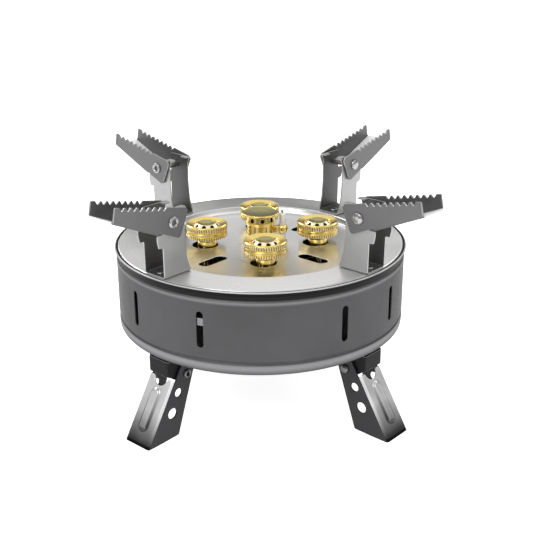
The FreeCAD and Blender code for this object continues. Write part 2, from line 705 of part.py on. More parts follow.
def make_arm(corner, turns):
    heel = Vector(number(D.arm_heel_out), number(D.arm_heel_up), 0)
    tip = Vector(number(D.arm_tip_out), number(D.arm_tip_up), 0)
    along = (tip - heel).normalize()

    def on_top(distance, depth=0.0):
        """A point on the arm's sloping upper edge, or below it by depth."""
        return (D.arm_heel_out + distance * along.x + depth * along.y,
                D.arm_heel_up + distance * along.y - depth * along.x)

    notches = []
    for step in reversed(range(int(number(D.tooth_count)))):
        start = D.first_tooth + D.tooth_pitch * step
        notches.append(on_top(start + D.tooth_width))
        notches.append(on_top(start + D.tooth_width / 2, D.tooth_depth))
        notches.append(on_top(start))
    toe = (D.arm_tip_out + 2.0, D.arm_tip_up - 7.9)
    floor_slope = (toe[1] - D.knee_up) / (toe[0] - D.knee_out)
    floor_rise = D.arm_sheet * 1.1
    body = channel("pot_arm_" + corner, [
        (D.arm_tip_out, D.arm_tip_up),
        *notches,
        (D.arm_heel_out, D.arm_heel_up),
        (D.arm_heel_out - 1.2, D.arm_heel_up - 2.0),
        (71.5, 111.5),
        (D.knee_out, D.knee_up),
        toe,
    ], [
        (D.knee_out, 100),
        (D.knee_out, D.knee_up + floor_rise),
        (D.knee_out + 35, D.knee_up + floor_rise + floor_slope * 35),
        (D.knee_out + 35, 145),
        (60, 145),
        (60, 100),
    ], D.arm_half, D.arm_sheet, turns=turns, first_angle=D.corner_angle)
    cross_hole(body, D.arm_pivot_out, D.arm_pivot_up, D.rivet_radius + D.pivot_gap, D.arm_half)


# ---------------------------------------------------------------- legs

def make_leg_bracket(corner, turns):
    body = channel("leg_bracket_" + corner, [
        (D.ear_plate, D.ear_low),
        (D.ear_plate, D.ear_high),
        (D.ear_plate - 2.1, D.drum_bottom),
        (D.ear_inner, D.drum_bottom),
        (D.ear_inner, FLANGE_EDGE[0][1] + 1.5),
        *FLANGE_EDGE,
    ], [
        (D.ear_plate - D.sheet, 28),
        (D.ear_plate - D.sheet, D.drum_bottom - D.sheet),
        (60, D.drum_bottom - D.sheet),
        (60, 28),
    ], D.ear_half, D.sheet, turns=turns, first_angle=D.corner_angle)
    cross_hole(body, D.leg_pivot_out, D.leg_pivot_up, D.rivet_radius, D.ear_half)
    rivet_holes(body, D.drum_bottom, LEG_RIVETS)


def make_leg(corner, turns):
    lean = math.atan2(number(D.foot_out - D.web_top_out), number(D.web_top_up))
    web = D.arm_sheet / math.cos(lean)
    slope = (D.foot_out - D.web_top_out) / D.web_top_up
    body = channel("leg_" + corner, [
        (D.web_top_out, D.web_top_up),
        *LEG_SHOULDER,
        (D.foot_in, 0),
        (D.foot_out, 0),
    ], [
        (D.foot_tab, D.arm_sheet),
        (D.foot_out - web - slope * D.arm_sheet, D.arm_sheet),
        (D.web_top_out - web, D.web_top_up),
        (90, D.web_top_up),
        (90, 50),
        (55, 50),
        (55, -5),
        (D.foot_tab, -5),
    ], D.leg_half, D.arm_sheet, turns=turns, first_angle=D.corner_angle)
    cross_hole(body, D.leg_pivot_out, D.leg_pivot_up, D.rivet_radius + D.pivot_gap, D.leg_half)
    cross_hole(body, D.upper_hole_out, D.upper_hole_up, D.upper_hole, D.leg_half)
    cross_hole(body, D.lower_hole_out, D.lower_hole_up, D.lower_hole, D.leg_half)
    on_web = {"offset": (0, D.web_top_up, D.web_top_out),
              "turn": (Vector(1, 0, 0), -math.degrees(lean))}
    rib = new_sketch(body, "YZ_Plane", **on_web)
    draw_slot(rib, 0, -(D.rib_start + D.rib_length / 2), D.rib_width, D.rib_length)
    pad(body, rib, D.rib_rise)
    notch = new_sketch(body, "YZ_Plane", **on_web)
    draw_circle(notch, 0, 0, D.web_notch)
    cut(body, notch, D.arm_sheet * 4, both_sides=True)


# ---------------------------------------------------------------- rivets

def make_pivot_rivet(label, half, out, up, turns):
    """A rivet across a channel: a domed head on one side, a rolled hollow end on the other."""
    side = half + D.washer_gap
    dome = D.rivet_rise - 0.3
    sphere = (D.rivet_head * D.rivet_head + dome * dome) / (dome * 2)
    body = new_body(label, turns=turns, first_angle=D.corner_angle, out=out, up=up)
    sketch = new_sketch(body, "XY_Plane")
    crown = -(side + D.rivet_rise)
    draw_outline(sketch, [
        (0, crown),
        (D.rivet_head, -(side + 0.3), 0, crown + sphere),
        (D.rivet_head, -side),
        (D.rivet_radius, -side),
        (D.rivet_radius, side),
        (D.rivet_radius + 0.9, side),
        (D.rivet_radius + 0.9, side + 0.6),
        (D.rivet_radius + 0.3, side + 1.1),
        (D.rivet_radius - 0.7, side + 1.1),
        (D.rivet_radius - 0.7, side - 4),
        (0, side - 4.4),
    ])
    revolve(body, sketch)


def fixed_rivet(out, turns, head_face, tail_face):
    """A small upright rivet with its domed head above head_face and its tail below tail_face."""
    low, high = sorted((head_face, tail_face))
    up = 1.0 if head_face > tail_face else -1.0
    head = Part.makeCylinder(2.4, 0.9, Vector(0, 0, head_face), Vector(0, 0, up))
    head = head.makeFillet(0.7, [edge for edge in head.Edges
                                 if edge.isClosed() and abs(edge.BoundBox.Center.z - head_face) > 0.5])
    shank = Part.makeCylinder(RIVET_SHANK, high - low, Vector(0, 0, low))
    tail = Part.makeCylinder(2.1, 0.6, Vector(0, 0, tail_face), Vector(0, 0, -up))
    rivet = head.fuse([shank, tail]).removeSplitter()
    angle = number(D.corner_angle) + 90 * turns
    rivet.translate(Vector(out, 0, 0))
    rivet.rotate(Vector(0, 0, 0), Vector(0, 0, 1), angle)
    return rivet


def make_rivet_group(label, distances, head_face, tail_face):
    rivets = [fixed_rivet(out, turns, number(head_face), number(tail_face))
              for turns in CORNERS.values() for out in distances]
    group = doc.addObject("Part::Feature", "Group_" + label)
    group.Shape = Part.makeCompound(rivets)
    named(label, group)


def make_jets():
    jets = []
    places = [Vector(0, 0, 0)]
    for turns in SIDES.values():
        angle = math.radians(90 * turns)
        out = number(D.head_circle)
        places.append(Vector(out * math.cos(angle), out * math.sin(angle), 0))
    for place in places:
        foot = place + Vector(0, 0, number(D.holder_top))
        barrel = Part.makeCylinder(2.0, 2.5, foot)
        nozzle = Part.makeCone(2.0, 0.9, 1.8, foot + Vector(0, 0, 2.5))
        bore = Part.makeCylinder(0.3, 6, foot - Vector(0, 0, 1))
        jets.append(barrel.fuse(nozzle).cut(bore))
    group = doc.addObject("Part::Feature", "Group_jets")
    group.Shape = Part.makeCompound(jets)
    named("gas_jets", group)


# ---------------------------------------------------------------- the whole stove

make_drum()
make_wall_strap()
make_top_plate()
for side, turns in SIDES.items():
    make_outer_head(side, turns)
make_middle_head()
make_gas_way()
make_inlet()
make_jets()
make_electrode()
for corner, turns in CORNERS.items():
    make_arm_bracket(corner, turns)
    make_arm(corner, turns)
    make_pivot_rivet("arm_rivet_" + corner, D.arm_half, D.arm_pivot_out, D.arm_pivot_up, turns)
    make_leg_bracket(corner, turns)
    make_leg(corner, turns)
    make_pivot_rivet("leg_rivet_" + corner, D.leg_half, D.leg_pivot_out, D.leg_pivot_up, turns)
make_rivet_group("arm_bracket_rivets", BRACKET_RIVETS, D.bracket_floor, D.plate_top - D.sheet)
make_rivet_group("leg_bracket_rivets", LEG_RIVETS, D.drum_bottom - D.sheet, D.drum_bottom + D.sheet)
doc.recompute()

for item in doc.Objects:
    if "Invalid" in item.State or "Error" in item.State:
        raise RuntimeError(f"{item.Name} ({item.Label}) did not compute: {item.State}")
for pocket in doc.findObjects("PartDesign::Pocket"):
    if pocket.BaseFeature.Shape.Volume - pocket.Shape.Volume < 0.01:
        raise RuntimeError(f"{pocket.Name} in {pocket.getParentGeoFeatureGroup().Label} cuts nothing")
os.makedirs("parts", exist_ok=True)
for label, item in sub_parts.items():
    shape = item.Shape
    if shape.isNull() or not shape.isValid() or not shape.Solids:
        raise RuntimeError(f"{label} has no valid solid")
    shape.exportStep(f"parts/{label}.step")
print(len(sub_parts), "sub-parts written")
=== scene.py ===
import json
import math
import bmesh
import bpy
import numpy as np
from mathutils import Matrix, Vector
from mathutils.geometry import delaunay_2d_cdt


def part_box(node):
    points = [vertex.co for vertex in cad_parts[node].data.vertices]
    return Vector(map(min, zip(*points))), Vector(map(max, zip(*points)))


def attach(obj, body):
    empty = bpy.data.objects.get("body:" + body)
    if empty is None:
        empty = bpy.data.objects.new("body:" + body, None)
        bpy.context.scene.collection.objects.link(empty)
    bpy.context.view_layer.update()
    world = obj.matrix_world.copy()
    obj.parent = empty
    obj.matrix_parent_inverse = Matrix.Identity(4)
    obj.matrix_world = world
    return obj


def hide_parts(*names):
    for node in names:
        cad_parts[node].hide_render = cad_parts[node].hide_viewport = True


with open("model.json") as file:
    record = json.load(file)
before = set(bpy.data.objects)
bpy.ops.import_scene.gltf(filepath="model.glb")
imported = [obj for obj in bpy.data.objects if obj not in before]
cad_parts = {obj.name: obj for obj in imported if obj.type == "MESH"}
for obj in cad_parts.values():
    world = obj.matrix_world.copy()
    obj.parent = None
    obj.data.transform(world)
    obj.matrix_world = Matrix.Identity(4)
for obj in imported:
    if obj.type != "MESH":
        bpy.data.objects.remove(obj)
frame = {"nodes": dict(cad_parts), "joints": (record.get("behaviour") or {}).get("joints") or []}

# A folding five-head gas stove. Pieces are drawn in millimetres and scaled once, in add_piece.
# Arms, legs and brackets are drawn in their radial plane, as (radius, height), and then turned to
# their corner. The tangential direction is +Y before that turn.

MM = 0.001
CORNERS = {"rear_right": 45, "rear_left": 135, "front_left": 225, "front_right": 315}
SIDES = {"right": 0, "rear": 90, "left": 180, "front": 270}
TURN = 2 * math.pi
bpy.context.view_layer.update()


def corner_of(node):
    """A CAD node's lowest and highest corners in millimetres."""
    low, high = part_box(node)
    return low / MM, high / MM


def at_azimuth(azimuth, radius):
    """The x and y of a point at an azimuth in degrees."""
    angle = math.radians(azimuth)
    return radius * math.cos(angle), radius * math.sin(angle)


# ---- camera, light and floor

CAMERA_AZIMUTH = math.radians(-3.21)
CAMERA_ELEVATION = math.radians(20.76)
CAMERA_ROLL = math.radians(-0.24)
CAMERA_DISTANCE = 559.3
LENS = 64.84
AIM_HEIGHT = 73.8
AIM_RIGHT = 3.44
FLOOR_GLOW = 0.75
FLOOR_REACH = 40.0
FLOOR_DROP = 0.0003


def add_camera():
    right = Vector((math.cos(CAMERA_AZIMUTH), math.sin(CAMERA_AZIMUTH), 0))
    level = Vector((-math.sin(CAMERA_AZIMUTH), math.cos(CAMERA_AZIMUTH), 0))
    look = level * math.cos(CAMERA_ELEVATION) - Vector((0, 0, math.sin(CAMERA_ELEVATION)))
    aim = right * AIM_RIGHT + Vector((0, 0, AIM_HEIGHT))
    camera = bpy.data.objects.new("camera", bpy.data.cameras.new("camera"))
    camera.data.lens = LENS
    camera.data.sensor_width = 36
    camera.data.clip_start = 0.01
    camera.location = (aim - look * CAMERA_DISTANCE) * MM
    facing = look.to_track_quat("-Z", "Y").to_matrix()
    camera.rotation_euler = (facing @ Matrix.Rotation(CAMERA_ROLL, 3, "Z")).to_euler()
    bpy.context.scene.collection.objects.link(camera)
    bpy.context.scene.camera = camera


def add_light(name, place, aim, size, power):
    lamp = bpy.data.lights.new(name, "AREA")
    lamp.shape = "RECTANGLE"
    lamp.size, lamp.size_y = size
    lamp.energy = power
    light = bpy.data.objects.new(name, lamp)
    light.location = place
    light.rotation_euler = (Vector(aim) - Vector(place)).to_track_quat("-Z", "Y").to_euler()
    bpy.context.scene.collection.objects.link(light)


def add_stage():
    mesh = bpy.data.meshes.new("floor")
    corners = [(x * FLOOR_REACH, y * FLOOR_REACH, 0) for x, y in ((-1, -1), (1, -1), (1, 1), (-1, 1))]
    mesh.from_pydata(corners, [], [(0, 1, 2, 3)])
    floor = bpy.data.objects.new("floor", mesh)
    floor.location.z = -FLOOR_DROP
    paper = bpy.data.materials.new("floor_paper")
    paper.use_nodes = True
    shader = paper.node_tree.nodes["Principled BSDF"]
    for name, value in {"Base Color": (0.95, 0.95, 0.95, 1), "Roughness": 0.9, "Specular IOR Level": 0.1,
                        "Emission Color": (1, 1, 1, 1), "Emission Strength": FLOOR_GLOW}.items():
        shader.inputs[name].default_value = value
    mesh.materials.append(paper)
    bpy.context.scene.collection.objects.link(floor)

    add_sky()
    middle = (0, 0, 0.09)
    add_light("key", (-0.7, -0.9, 1.3), middle, (0.7, 0.7), 8)
    add_light("fill", (1.0, -0.7, 0.9), middle, (0.6, 0.8), 1.5)
    add_light("back_left", (-0.9, 0.95, 1.0), middle, (0.5, 0.5), 7)
    add_light("back_right", (0.95, 0.9, 1.0), middle, (0.5, 0.5), 2.5)
    bpy.context.scene.view_settings.view_transform = "Standard"


def map_range(tree, value, low, high, start, end):
    """A node that goes from low to high as value goes from start to end."""
    node = tree.nodes.new("ShaderNodeMapRange")
    for name, number in {"From Min": start, "From Max": end, "To Min": low, "To Max": high}.items():
        node.inputs[name].default_value = number
    tree.links.new(value, node.inputs["Value"])
    return node


def add_sky():
    """A studio surround: dim near the horizon and bright overhead."""
    world = bpy.data.worlds.new("studio")
    world.use_nodes = True
    tree = world.node_tree
    where = tree.nodes.new("ShaderNodeTexCoord")
    apart = tree.nodes.new("ShaderNodeSeparateXYZ")
    tree.links.new(where.outputs["Generated"], apart.inputs["Vector"])
    rise = map_range(tree, apart.outputs["Z"], 0.2, 0.98, 0.2, 0.55)
    rise.interpolation_type = "SMOOTHSTEP"
    tree.links.new(rise.outputs["Result"], tree.nodes["Background"].inputs["Strength"])
    tree.nodes["Background"].inputs["Color"].default_value = (1, 1, 1, 1)
    bpy.context.scene.world = world


# ---- mesh helpers

ROUND_STEP = math.radians(12)


def filleted(points):
    """An outline with corners rounded: each point is (x, y) or (x, y, radius)."""
    result = []
    count = len(points)
    for index, point in enumerate(points):
        here = Vector(point[:2])
        radius = point[2] if len(point) > 2 else 0
        before = Vector(points[index - 1][:2]) - here
        after = Vector(points[(index + 1) % count][:2]) - here
        if radius <= 0 or before.length < 1e-6 or after.length < 1e-6:
            result.append(here)
            continue
        half = before.angle(after) / 2
        if half > math.pi / 2 - 0.01:
            result.append(here)
            continue
        reach = min(radius / math.tan(half), before.length * 0.49, after.length * 0.49)
        radius = reach * math.tan(half)
        centre = here + (before.normalized() + after.normalized()).normalized() * (radius / math.sin(half))
        start = here + before.normalized() * reach - centre
        end = here + after.normalized() * reach - centre
        sweep = start.angle_signed(end) * -1
        steps = max(2, math.ceil(abs(sweep) / ROUND_STEP))
        for step in range(steps + 1):
            result.append(centre + Matrix.Rotation(sweep * step / steps, 2) @ start)
    return result


def dense(loop, step):
    """The loop with its long edges divided."""
    result = []
    for index, point in enumerate(loop):
        following = loop[(index + 1) % len(loop)]
        pieces = max(1, math.ceil((following - point).length / step))
        result += [point.lerp(following, piece / pieces) for piece in range(pieces)]
    return result


def circle(x, y, radius, count=32, clockwise=False):
    turn = -TURN if clockwise else TURN
    return [Vector((x + radius * math.cos(turn * i / count), y + radius * math.sin(turn * i / count)))
            for i in range(count)]


def obround(x, y, width, length, angle=0.0):
    """A clockwise slot outline: length lies along angle."""
    count = 10
    along = Vector((math.cos(angle), math.sin(angle)))
    across = Vector((-along.y, along.x))
    half = width / 2
    run = length / 2 - half
    points = []
    for end in (1, -1):
        for step in range(count + 1):
            turn = math.pi / 2 - math.pi * step / count
            points.append(Vector((x, y)) + along * end * (run + half * math.cos(turn))
                          + across * end * half * math.sin(turn))
    return points


def moved_left(loop, distance):
    """The loop moved towards its left, which is where its material lies."""
    result = []
    for index, point in enumerate(loop):
        before = (point - loop[index - 1]).normalized()
        after = (loop[(index + 1) % len(loop)] - point).normalized()
        left = Vector((-before.y, before.x))
        normal = (left + Vector((-after.y, after.x))).normalized()
        result.append(point + normal * (distance / max(0.5, normal.dot(left))))
    return result


def in_material(points, loops):
    """Which points lie between the loops, by counting the edges that a level ray crosses."""
    crossings = np.zeros(len(points), int)
    x, y = points[:, 0], points[:, 1]
    for loop in loops:
        for index, b in enumerate(loop):
            a = loop[index - 1]
            if a.y != b.y:
                spans = (a.y > y) != (b.y > y)
                crossings += spans & (x < a.x + (y - a.y) * (b.x - a.x) / (b.y - a.y))
    return crossings % 2 == 1


def clear_of(points, loops, gap):
    """Which points are further than gap from every corner of the loops."""
    keep = np.ones(len(points), bool)
    for loop in loops:
        for corner in loop:
            keep &= (points[:, 0] - corner.x) ** 2 + (points[:, 1] - corner.y) ** 2 > gap * gap
    return keep


EDGE_STEPS = 3


def add_sheet(bm, loops, place, half, rounding=0.14, inner=(), gap=0.5, edge_material=0, back_material=0):
    """Adds a closed piece of sheet: loops in the flat plane, the first one anticlockwise and its
    holes clockwise, carried to the object by place(u, v, w), where w runs from -half to half. Its cut
    edges take the material numbered edge_material, and the face at -half the one numbered
    back_material."""
    flats = [moved_left(loop, rounding) for loop in loops]
    points = [point for flat in flats for point in flat]
    edges = []
    for flat in flats:
        first = len(edges)
        count = len(flat)
        edges += [(first + i, first + (i + 1) % count) for i in range(count)]
    if len(inner):
        grid = np.array([tuple(point) for point in inner], float)
        grid = grid[in_material(grid, flats)]
        grid = grid[clear_of(grid, flats, gap)]
        points += [Vector(point) for point in grid]
    made, _, triangles, origins, _, _ = delaunay_2d_cdt(points, edges, [], 1, 1e-7)
    centres = np.array([tuple((made[a] + made[b] + made[c]) / 3) for a, b, c in triangles])
    kept = [t for t, inside in zip(triangles, in_material(centres, flats)) if inside]
    faces_of = []
    for w in (half, -half):
        faces_of.append([bm.verts.new(place(point.x, point.y, w)) for point in made])
    for a, b, c in kept:
        bm.faces.new((faces_of[0][a], faces_of[0][b], faces_of[0][c]))
        back = bm.faces.new((faces_of[1][c], faces_of[1][b], faces_of[1][a]))
        back.material_index = back_material
    place_of = {}
    for vertex, sources in enumerate(origins):
        for source in sources:
            place_of[source] = vertex
    section = []
    for step in range(1, EDGE_STEPS + 1):
        turn = math.pi / 2 * step / EDGE_STEPS
        section.append((1 - math.sin(turn), half - rounding * (1 - math.cos(turn))))
    section += [(share, -w) for share, w in reversed(section)]
    start = 0
    for loop, flat in zip(loops, flats):
        count = len(loop)
        rows = [[faces_of[0][place_of[start + i]] for i in range(count)]]
        for share, w in section:
            row = []
            for edge, face in zip(loop, flat):
                spot = edge.lerp(face, share)
                row.append(bm.verts.new(place(spot.x, spot.y, w)))
            rows.append(row)
        rows.append([faces_of[1][place_of[start + i]] for i in range(count)])
        for upper, lower in zip(rows, rows[1:]):
            for i in range(count):
                j = (i + 1) % count
                if upper[i] is not upper[j] and lower[i] is not lower[j]:
                    face = bm.faces.new((upper[i], lower[i], lower[j], upper[j]))
                    face.material_index = edge_material
        start += count


def add_lathe(bm, profile, place=Vector((0, 0, 0)), count=96, ripple=None):
    """Turns a closed profile of (radius, height) points. ripple(point, angle) adds to the radius."""
    rings = []
    for point in profile:
        if point.x < 1e-4:
            spot = Vector((0, 0, point.y))
            rings.append([bm.verts.new(place + spot)])
            continue
        ring = []
        for step in range(count):
            angle = TURN * step / count
            radius = point.x + (ripple(point, angle) if ripple else 0)
            ring.append(bm.verts.new(place + Vector(
                (radius * math.cos(angle), radius * math.sin(angle), point.y))))
        rings.append(ring)
    for first, second in zip(rings, rings[1:] + rings[:1]):
        if len(first) == 1 and len(second) == 1:
            continue
        for i in range(count):
            j = (i + 1) % count
            if len(first) == 1:
                bm.faces.new((first[0], second[i], second[j]))
            elif len(second) == 1:
                bm.faces.new((first[i], second[0], first[j]))
            else:
                bm.faces.new((first[i], second[i], second[j], first[j]))


def add_piece(name, bm, materials, body, nodes=(), angle=0.0):
    """Makes one object of the mesh so far, in metres, turned about Z by angle in degrees."""
    bmesh.ops.recalc_face_normals(bm, faces=bm.faces)
    mesh = bpy.data.meshes.new(name)
    bm.to_mesh(mesh)
    mesh.transform(Matrix.Rotation(math.radians(angle), 4, "Z") @ Matrix.Scale(MM, 4))
    mesh.polygons.foreach_set("use_smooth", [True] * len(mesh.polygons))
    for material in materials if isinstance(materials, tuple) else (materials,):
        mesh.materials.append(material)
    piece = bpy.data.objects.new(name, mesh)
    bpy.context.scene.collection.objects.link(piece)
    weighted = piece.modifiers.new("even_shading", "WEIGHTED_NORMAL")
    weighted.keep_sharp = True
    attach(piece, body)
    if nodes:
        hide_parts(*nodes)
    return piece


def add_turned(name, profile, material, nodes=(), place=Vector((0, 0, 0)), count=96):
    """Makes one fixed piece by turning a closed outline of (radius, height) points."""
    bm = bmesh.new()
    add_lathe(bm, filleted(profile), place, count)
    add_piece(name, bm, material, "root", nodes)


def coat(nodes, material, sharp=math.radians(35)):
    """Gives CAD nodes a material and smooth shading between their sharp edges."""
    for name in nodes:
        mesh = frame["nodes"][name].data
        mesh.materials.clear()
        mesh.materials.append(material)
        mesh.set_sharp_from_angle(angle=sharp)


class Pressed:
    """A round pressed sheet: its section is a line of (radius, height), and flat points at distance
    d from the middle go to that line's point at length d - start."""

    def __init__(self, section, start=0.0):
        self.section = section
        self.lengths = [start]
        for a, b in zip(section, section[1:]):
            self.lengths.append(self.lengths[-1] + (b - a).length)
        directions = [(b - a).normalized() for a, b in zip(section, section[1:])]
        self.directions = [directions[0]]
        for a, b in zip(directions, directions[1:]):
            self.directions.append((a + b).normalized())
        self.directions.append(directions[-1])

    def place(self, u, v, w):
        distance = math.hypot(u, v)
        last = len(self.lengths) - 2
        index = min(last, max(0, int(np.searchsorted(self.lengths, distance)) - 1))
        span = self.lengths[index + 1] - self.lengths[index]
        share = (distance - self.lengths[index]) / span
        spot = self.section[index].lerp(self.section[index + 1], share)
        way = self.directions[index].lerp(self.directions[index + 1], min(1, max(0, share))).normalized()
        radius = spot.x - way.y * w
        height = spot.y + way.x * w
        angle = math.atan2(v, u)
        return (radius * math.cos(angle), radius * math.sin(angle), height)

    def grid(self, count, spacing):
        """Rings of flat points at the section's corners, and between them where they are far apart."""
        points = []
        distances = []
        for a, b in zip(self.lengths, self.lengths[1:]):
            pieces = max(1, math.ceil((b - a) / spacing))
            distances += [a + (b - a) * piece / pieces for piece in range(pieces)]
        for distance in distances:
            if distance > 1.0:
                points += circle(0, 0, distance, count)
        return points

    def distance_at(self, height):
        """The flat distance where the section passes a height, looking from its far end."""
        for index in range(len(self.section) - 2, -1, -1):
            a, b = self.section[index], self.section[index + 1]
            if min(a.y, b.y) <= height <= max(a.y, b.y) and a.y != b.y:
                share = (height - a.y) / (b.y - a.y)
                return self.lengths[index] + share * (self.lengths[index + 1] - self.lengths[index])
        raise ValueError(f"the section doesn't pass height {height}")


class Channel:
    """A U of folded sheet. Its web runs from base along the unit direction run, both in the radial
    plane, and its walls stand up from the web on the left of that direction."""

    def __init__(self, base, along, half, sheet, bend):
        self.base = Vector(base)
        self.run = Vector(along).normalized()
        self.up = Vector((-self.run.y, self.run.x))
        self.bend = bend
        self.middle = half - sheet / 2
        self.flat = self.middle - bend
        self.arc = bend * math.pi / 2

    def flat_of(self, radius, height):
        """(along, across) on the flat sheet of a point of a wall, given in the radial plane."""
        arm = Vector((radius, height)) - self.base
        rise = max(arm.dot(self.up), self.bend)
        return Vector((arm.dot(self.run), self.flat + self.arc + rise - self.bend))

    def place(self, u, v, w):
        side = 1 if v >= 0 else -1
        across = abs(v)
        if across <= self.flat:
            out, rise = across, -w
        elif across <= self.flat + self.arc:
            turn = (across - self.flat) / self.bend
            out = self.flat + (self.bend + w) * math.sin(turn)
            rise = self.bend - (self.bend + w) * math.cos(turn)
        else:
            out = self.middle + w
            rise = self.bend + across - self.flat - self.arc
        spot = self.base + self.run * u + self.up * rise
        return (spot.x, side * out, spot.y)

    def bend_grid(self, start, end, step=1.2):
        """Flat points along both bends."""
        points = []
        count = max(2, math.ceil((end - start) / step))
        for i in range(count + 1):
            for part in range(5):
                across = self.flat + self.arc * part / 4
                along = start + (end - start) * i / count
                points += [Vector((along, across)), Vector((along, -across))]
        return points

    def outline(self, wall, ends):
        """The whole flat outline, from one wall's outline, drawn from the far end of the web back to
        its near end over the wall's free edge, and the web's ends (near, far)."""
        upper = [self.flat_of(*point[:2]).to_tuple() + tuple(point[2:]) for point in wall]
        near, far = ends
        upper = [(far, self.flat + self.arc)] + upper + [(near, self.flat + self.arc)]
        lower = [(point[0], -point[1]) + tuple(point[2:]) for point in reversed(upper)]
        return upper + lower


# ---- materials

class Shader:
    """One procedural material and the nodes that make it."""

    def __init__(self, name, colour, metallic, roughness):
        self.material = bpy.data.materials.new(name)
        self.material.use_nodes = True
        self.tree = self.material.node_tree
        self.main = self.tree.nodes["Principled BSDF"]
        self.main.inputs["Base Color"].default_value = (*colour, 1)
        self.main.inputs["Metallic"].default_value = metallic
        self.main.inputs["Roughness"].default_value = roughness
        geometry = self.tree.nodes.new("ShaderNodeTexCoord")
        self.position = geometry.outputs["Object"]

    def feed(self, node, socket, value):
        """Gives a node's input a number, a colour or another node's output."""
        if isinstance(value, bpy.types.NodeSocket):
            self.tree.links.new(value, node.inputs[socket])
        else:
            node.inputs[socket].default_value = (*value, 1) if isinstance(value, tuple) else value

    def mapped(self, scale):
        node = self.tree.nodes.new("ShaderNodeMapping")
        node.inputs["Scale"].default_value = scale
        self.feed(node, "Vector", self.position)
        return node.outputs["Vector"]

    def noise(self, vector, scale, detail):
        node = self.tree.nodes.new("ShaderNodeTexNoise")
        for name, value in {"Scale": scale, "Detail": detail, "Roughness": 0.55, "Vector": vector}.items():
            self.feed(node, name, value)
        return node.outputs["Fac"]

    def ranged(self, value, low, high, start=0.3, end=0.7):
        return map_range(self.tree, value, low, high, start, end).outputs["Result"]

    def math(self, operation, first, second=0.0):
        node = self.tree.nodes.new("ShaderNodeMath")
        node.operation = operation
        for index, value in enumerate((first, second)):
            self.feed(node, index, value)
        return node.outputs["Value"]

    def times(self, first, second):
        return self.math("MULTIPLY", first, second)

    def plus(self, first, second):
        return self.math("ADD", first, second)

    def between(self, value, low, high, soft):
        """1 between low and high, falling to 0 over a soft border inside them."""
        rise = self.ranged(value, 0, 1, low, low + soft)
        return self.times(rise, self.ranged(value, 1, 0, high - soft, high))

    def mixed(self, share, first, second):
        """A colour between two; each is a colour or an output."""
        node = self.tree.nodes.new("ShaderNodeMix")
        node.data_type = "RGBA"
        for index, value in ((6, first), (7, second), (0, share)):
            self.feed(node, index, value)
        return node.outputs[2]

    def set(self, name, output):
        self.feed(self.main, name, output)

    def bump(self, height, strength, distance):
        node = self.tree.nodes.new("ShaderNodeBump")
        for name, value in {"Strength": strength, "Distance": distance, "Height": height}.items():
            self.feed(node, name, value)
        self.set("Normal", node.outputs["Normal"])

    def polar(self):
        """(radius, angle, height) of a point, for marks that run round the Z axis."""
        apart = self.tree.nodes.new("ShaderNodeSeparateXYZ")
        self.feed(apart, "Vector", self.position)
        x, y, z = apart.outputs
        radius = self.math("SQRT", self.plus(self.times(x, x), self.times(y, y)))
        return radius, self.math("ARCTAN2", y, x), z

    def joined(self, x, y, z):
        node = self.tree.nodes.new("ShaderNodeCombineXYZ")
        for index, value in enumerate((x, y, z)):
            self.feed(node, index, value)
        return node.outputs["Vector"]


def grey(value):
    return (value, value, value)


# Where painted highlights and painted shade lie on the drum's paint, as heights and one radius in metres.
SHOULDER_HIGHLIGHT = (0.0832, 0.0862)
RIM_SHADE_BAND = (0.0859, 0.0907)
BEAD_HIGHLIGHT = (0.0496, 0.0508)
BEAD_SHADE = (0.0448, 0.0485)
RIM_HIGHLIGHT = (0.0905, 0.0908)
RIM_GAP_SHADE = (0.088, 0.0882)
RIM_RADIUS = (0.0824, 0.0826)


def drum_paint():
    """Satin grey stove paint with a fine powder grain. Painted shade darkens the band below the rim, the gap
    inside it and the bottom of the rolled bead, and painted highlights lighten the shoulder, the rim and the
    top of the rolled bead."""
    look = Shader("drum_paint", (0.1, 0.1, 0.105), 0.45, 0.42)
    look.main.inputs["Specular Tint"].default_value = (0.2, 0.2, 0.205, 1)
    radius, _, height = look.polar()
    cloud = look.noise(look.position, 28, 3)
    tone = look.mixed(look.ranged(cloud, 0, 1), (0.066, 0.066, 0.068), (0.08, 0.08, 0.083))
    # Painted highlights on the shoulder, the bead's top and the rim; painted shade under the bead, below the
    # rim and in the gap.
    tone = look.mixed(look.between(height, *SHOULDER_HIGHLIGHT, 0.0012), tone, (0.16, 0.16, 0.162))
    tone = look.mixed(look.ranged(height, 1, 0, *BEAD_HIGHLIGHT), tone, (0.22, 0.22, 0.225))
    tone = look.mixed(look.ranged(height, 1, 0, *BEAD_SHADE), tone, (0.05, 0.05, 0.052))
    tone = look.mixed(look.between(height, *RIM_SHADE_BAND, 0.0004), tone, grey(0.012))
    rim_highlight = look.times(look.ranged(height, 0, 1, *RIM_HIGHLIGHT), look.ranged(radius, 0, 1, *RIM_RADIUS))
    gap_shade = look.times(look.ranged(height, 0, 1, *RIM_GAP_SHADE), look.ranged(radius, 1, 0, *RIM_RADIUS))
    tone = look.mixed(rim_highlight, tone, grey(0.5))
    look.set("Base Color", look.mixed(gap_shade, tone, grey(0.008)))
    grain = look.noise(look.position, 2600, 2)
    look.set("Roughness", look.ranged(grain, 0.36, 0.5))
    look.bump(grain, 0.12, 0.0001)
    return look.material


# Radii of the lid's parts in metres. The step band is a line of painted shade.
DISH_EDGE = 0.06
STEP_SHADE_BAND = (0.0598, 0.062)
RING_START = 0.0617
LID_EDGE = (0.0808, 0.0813)


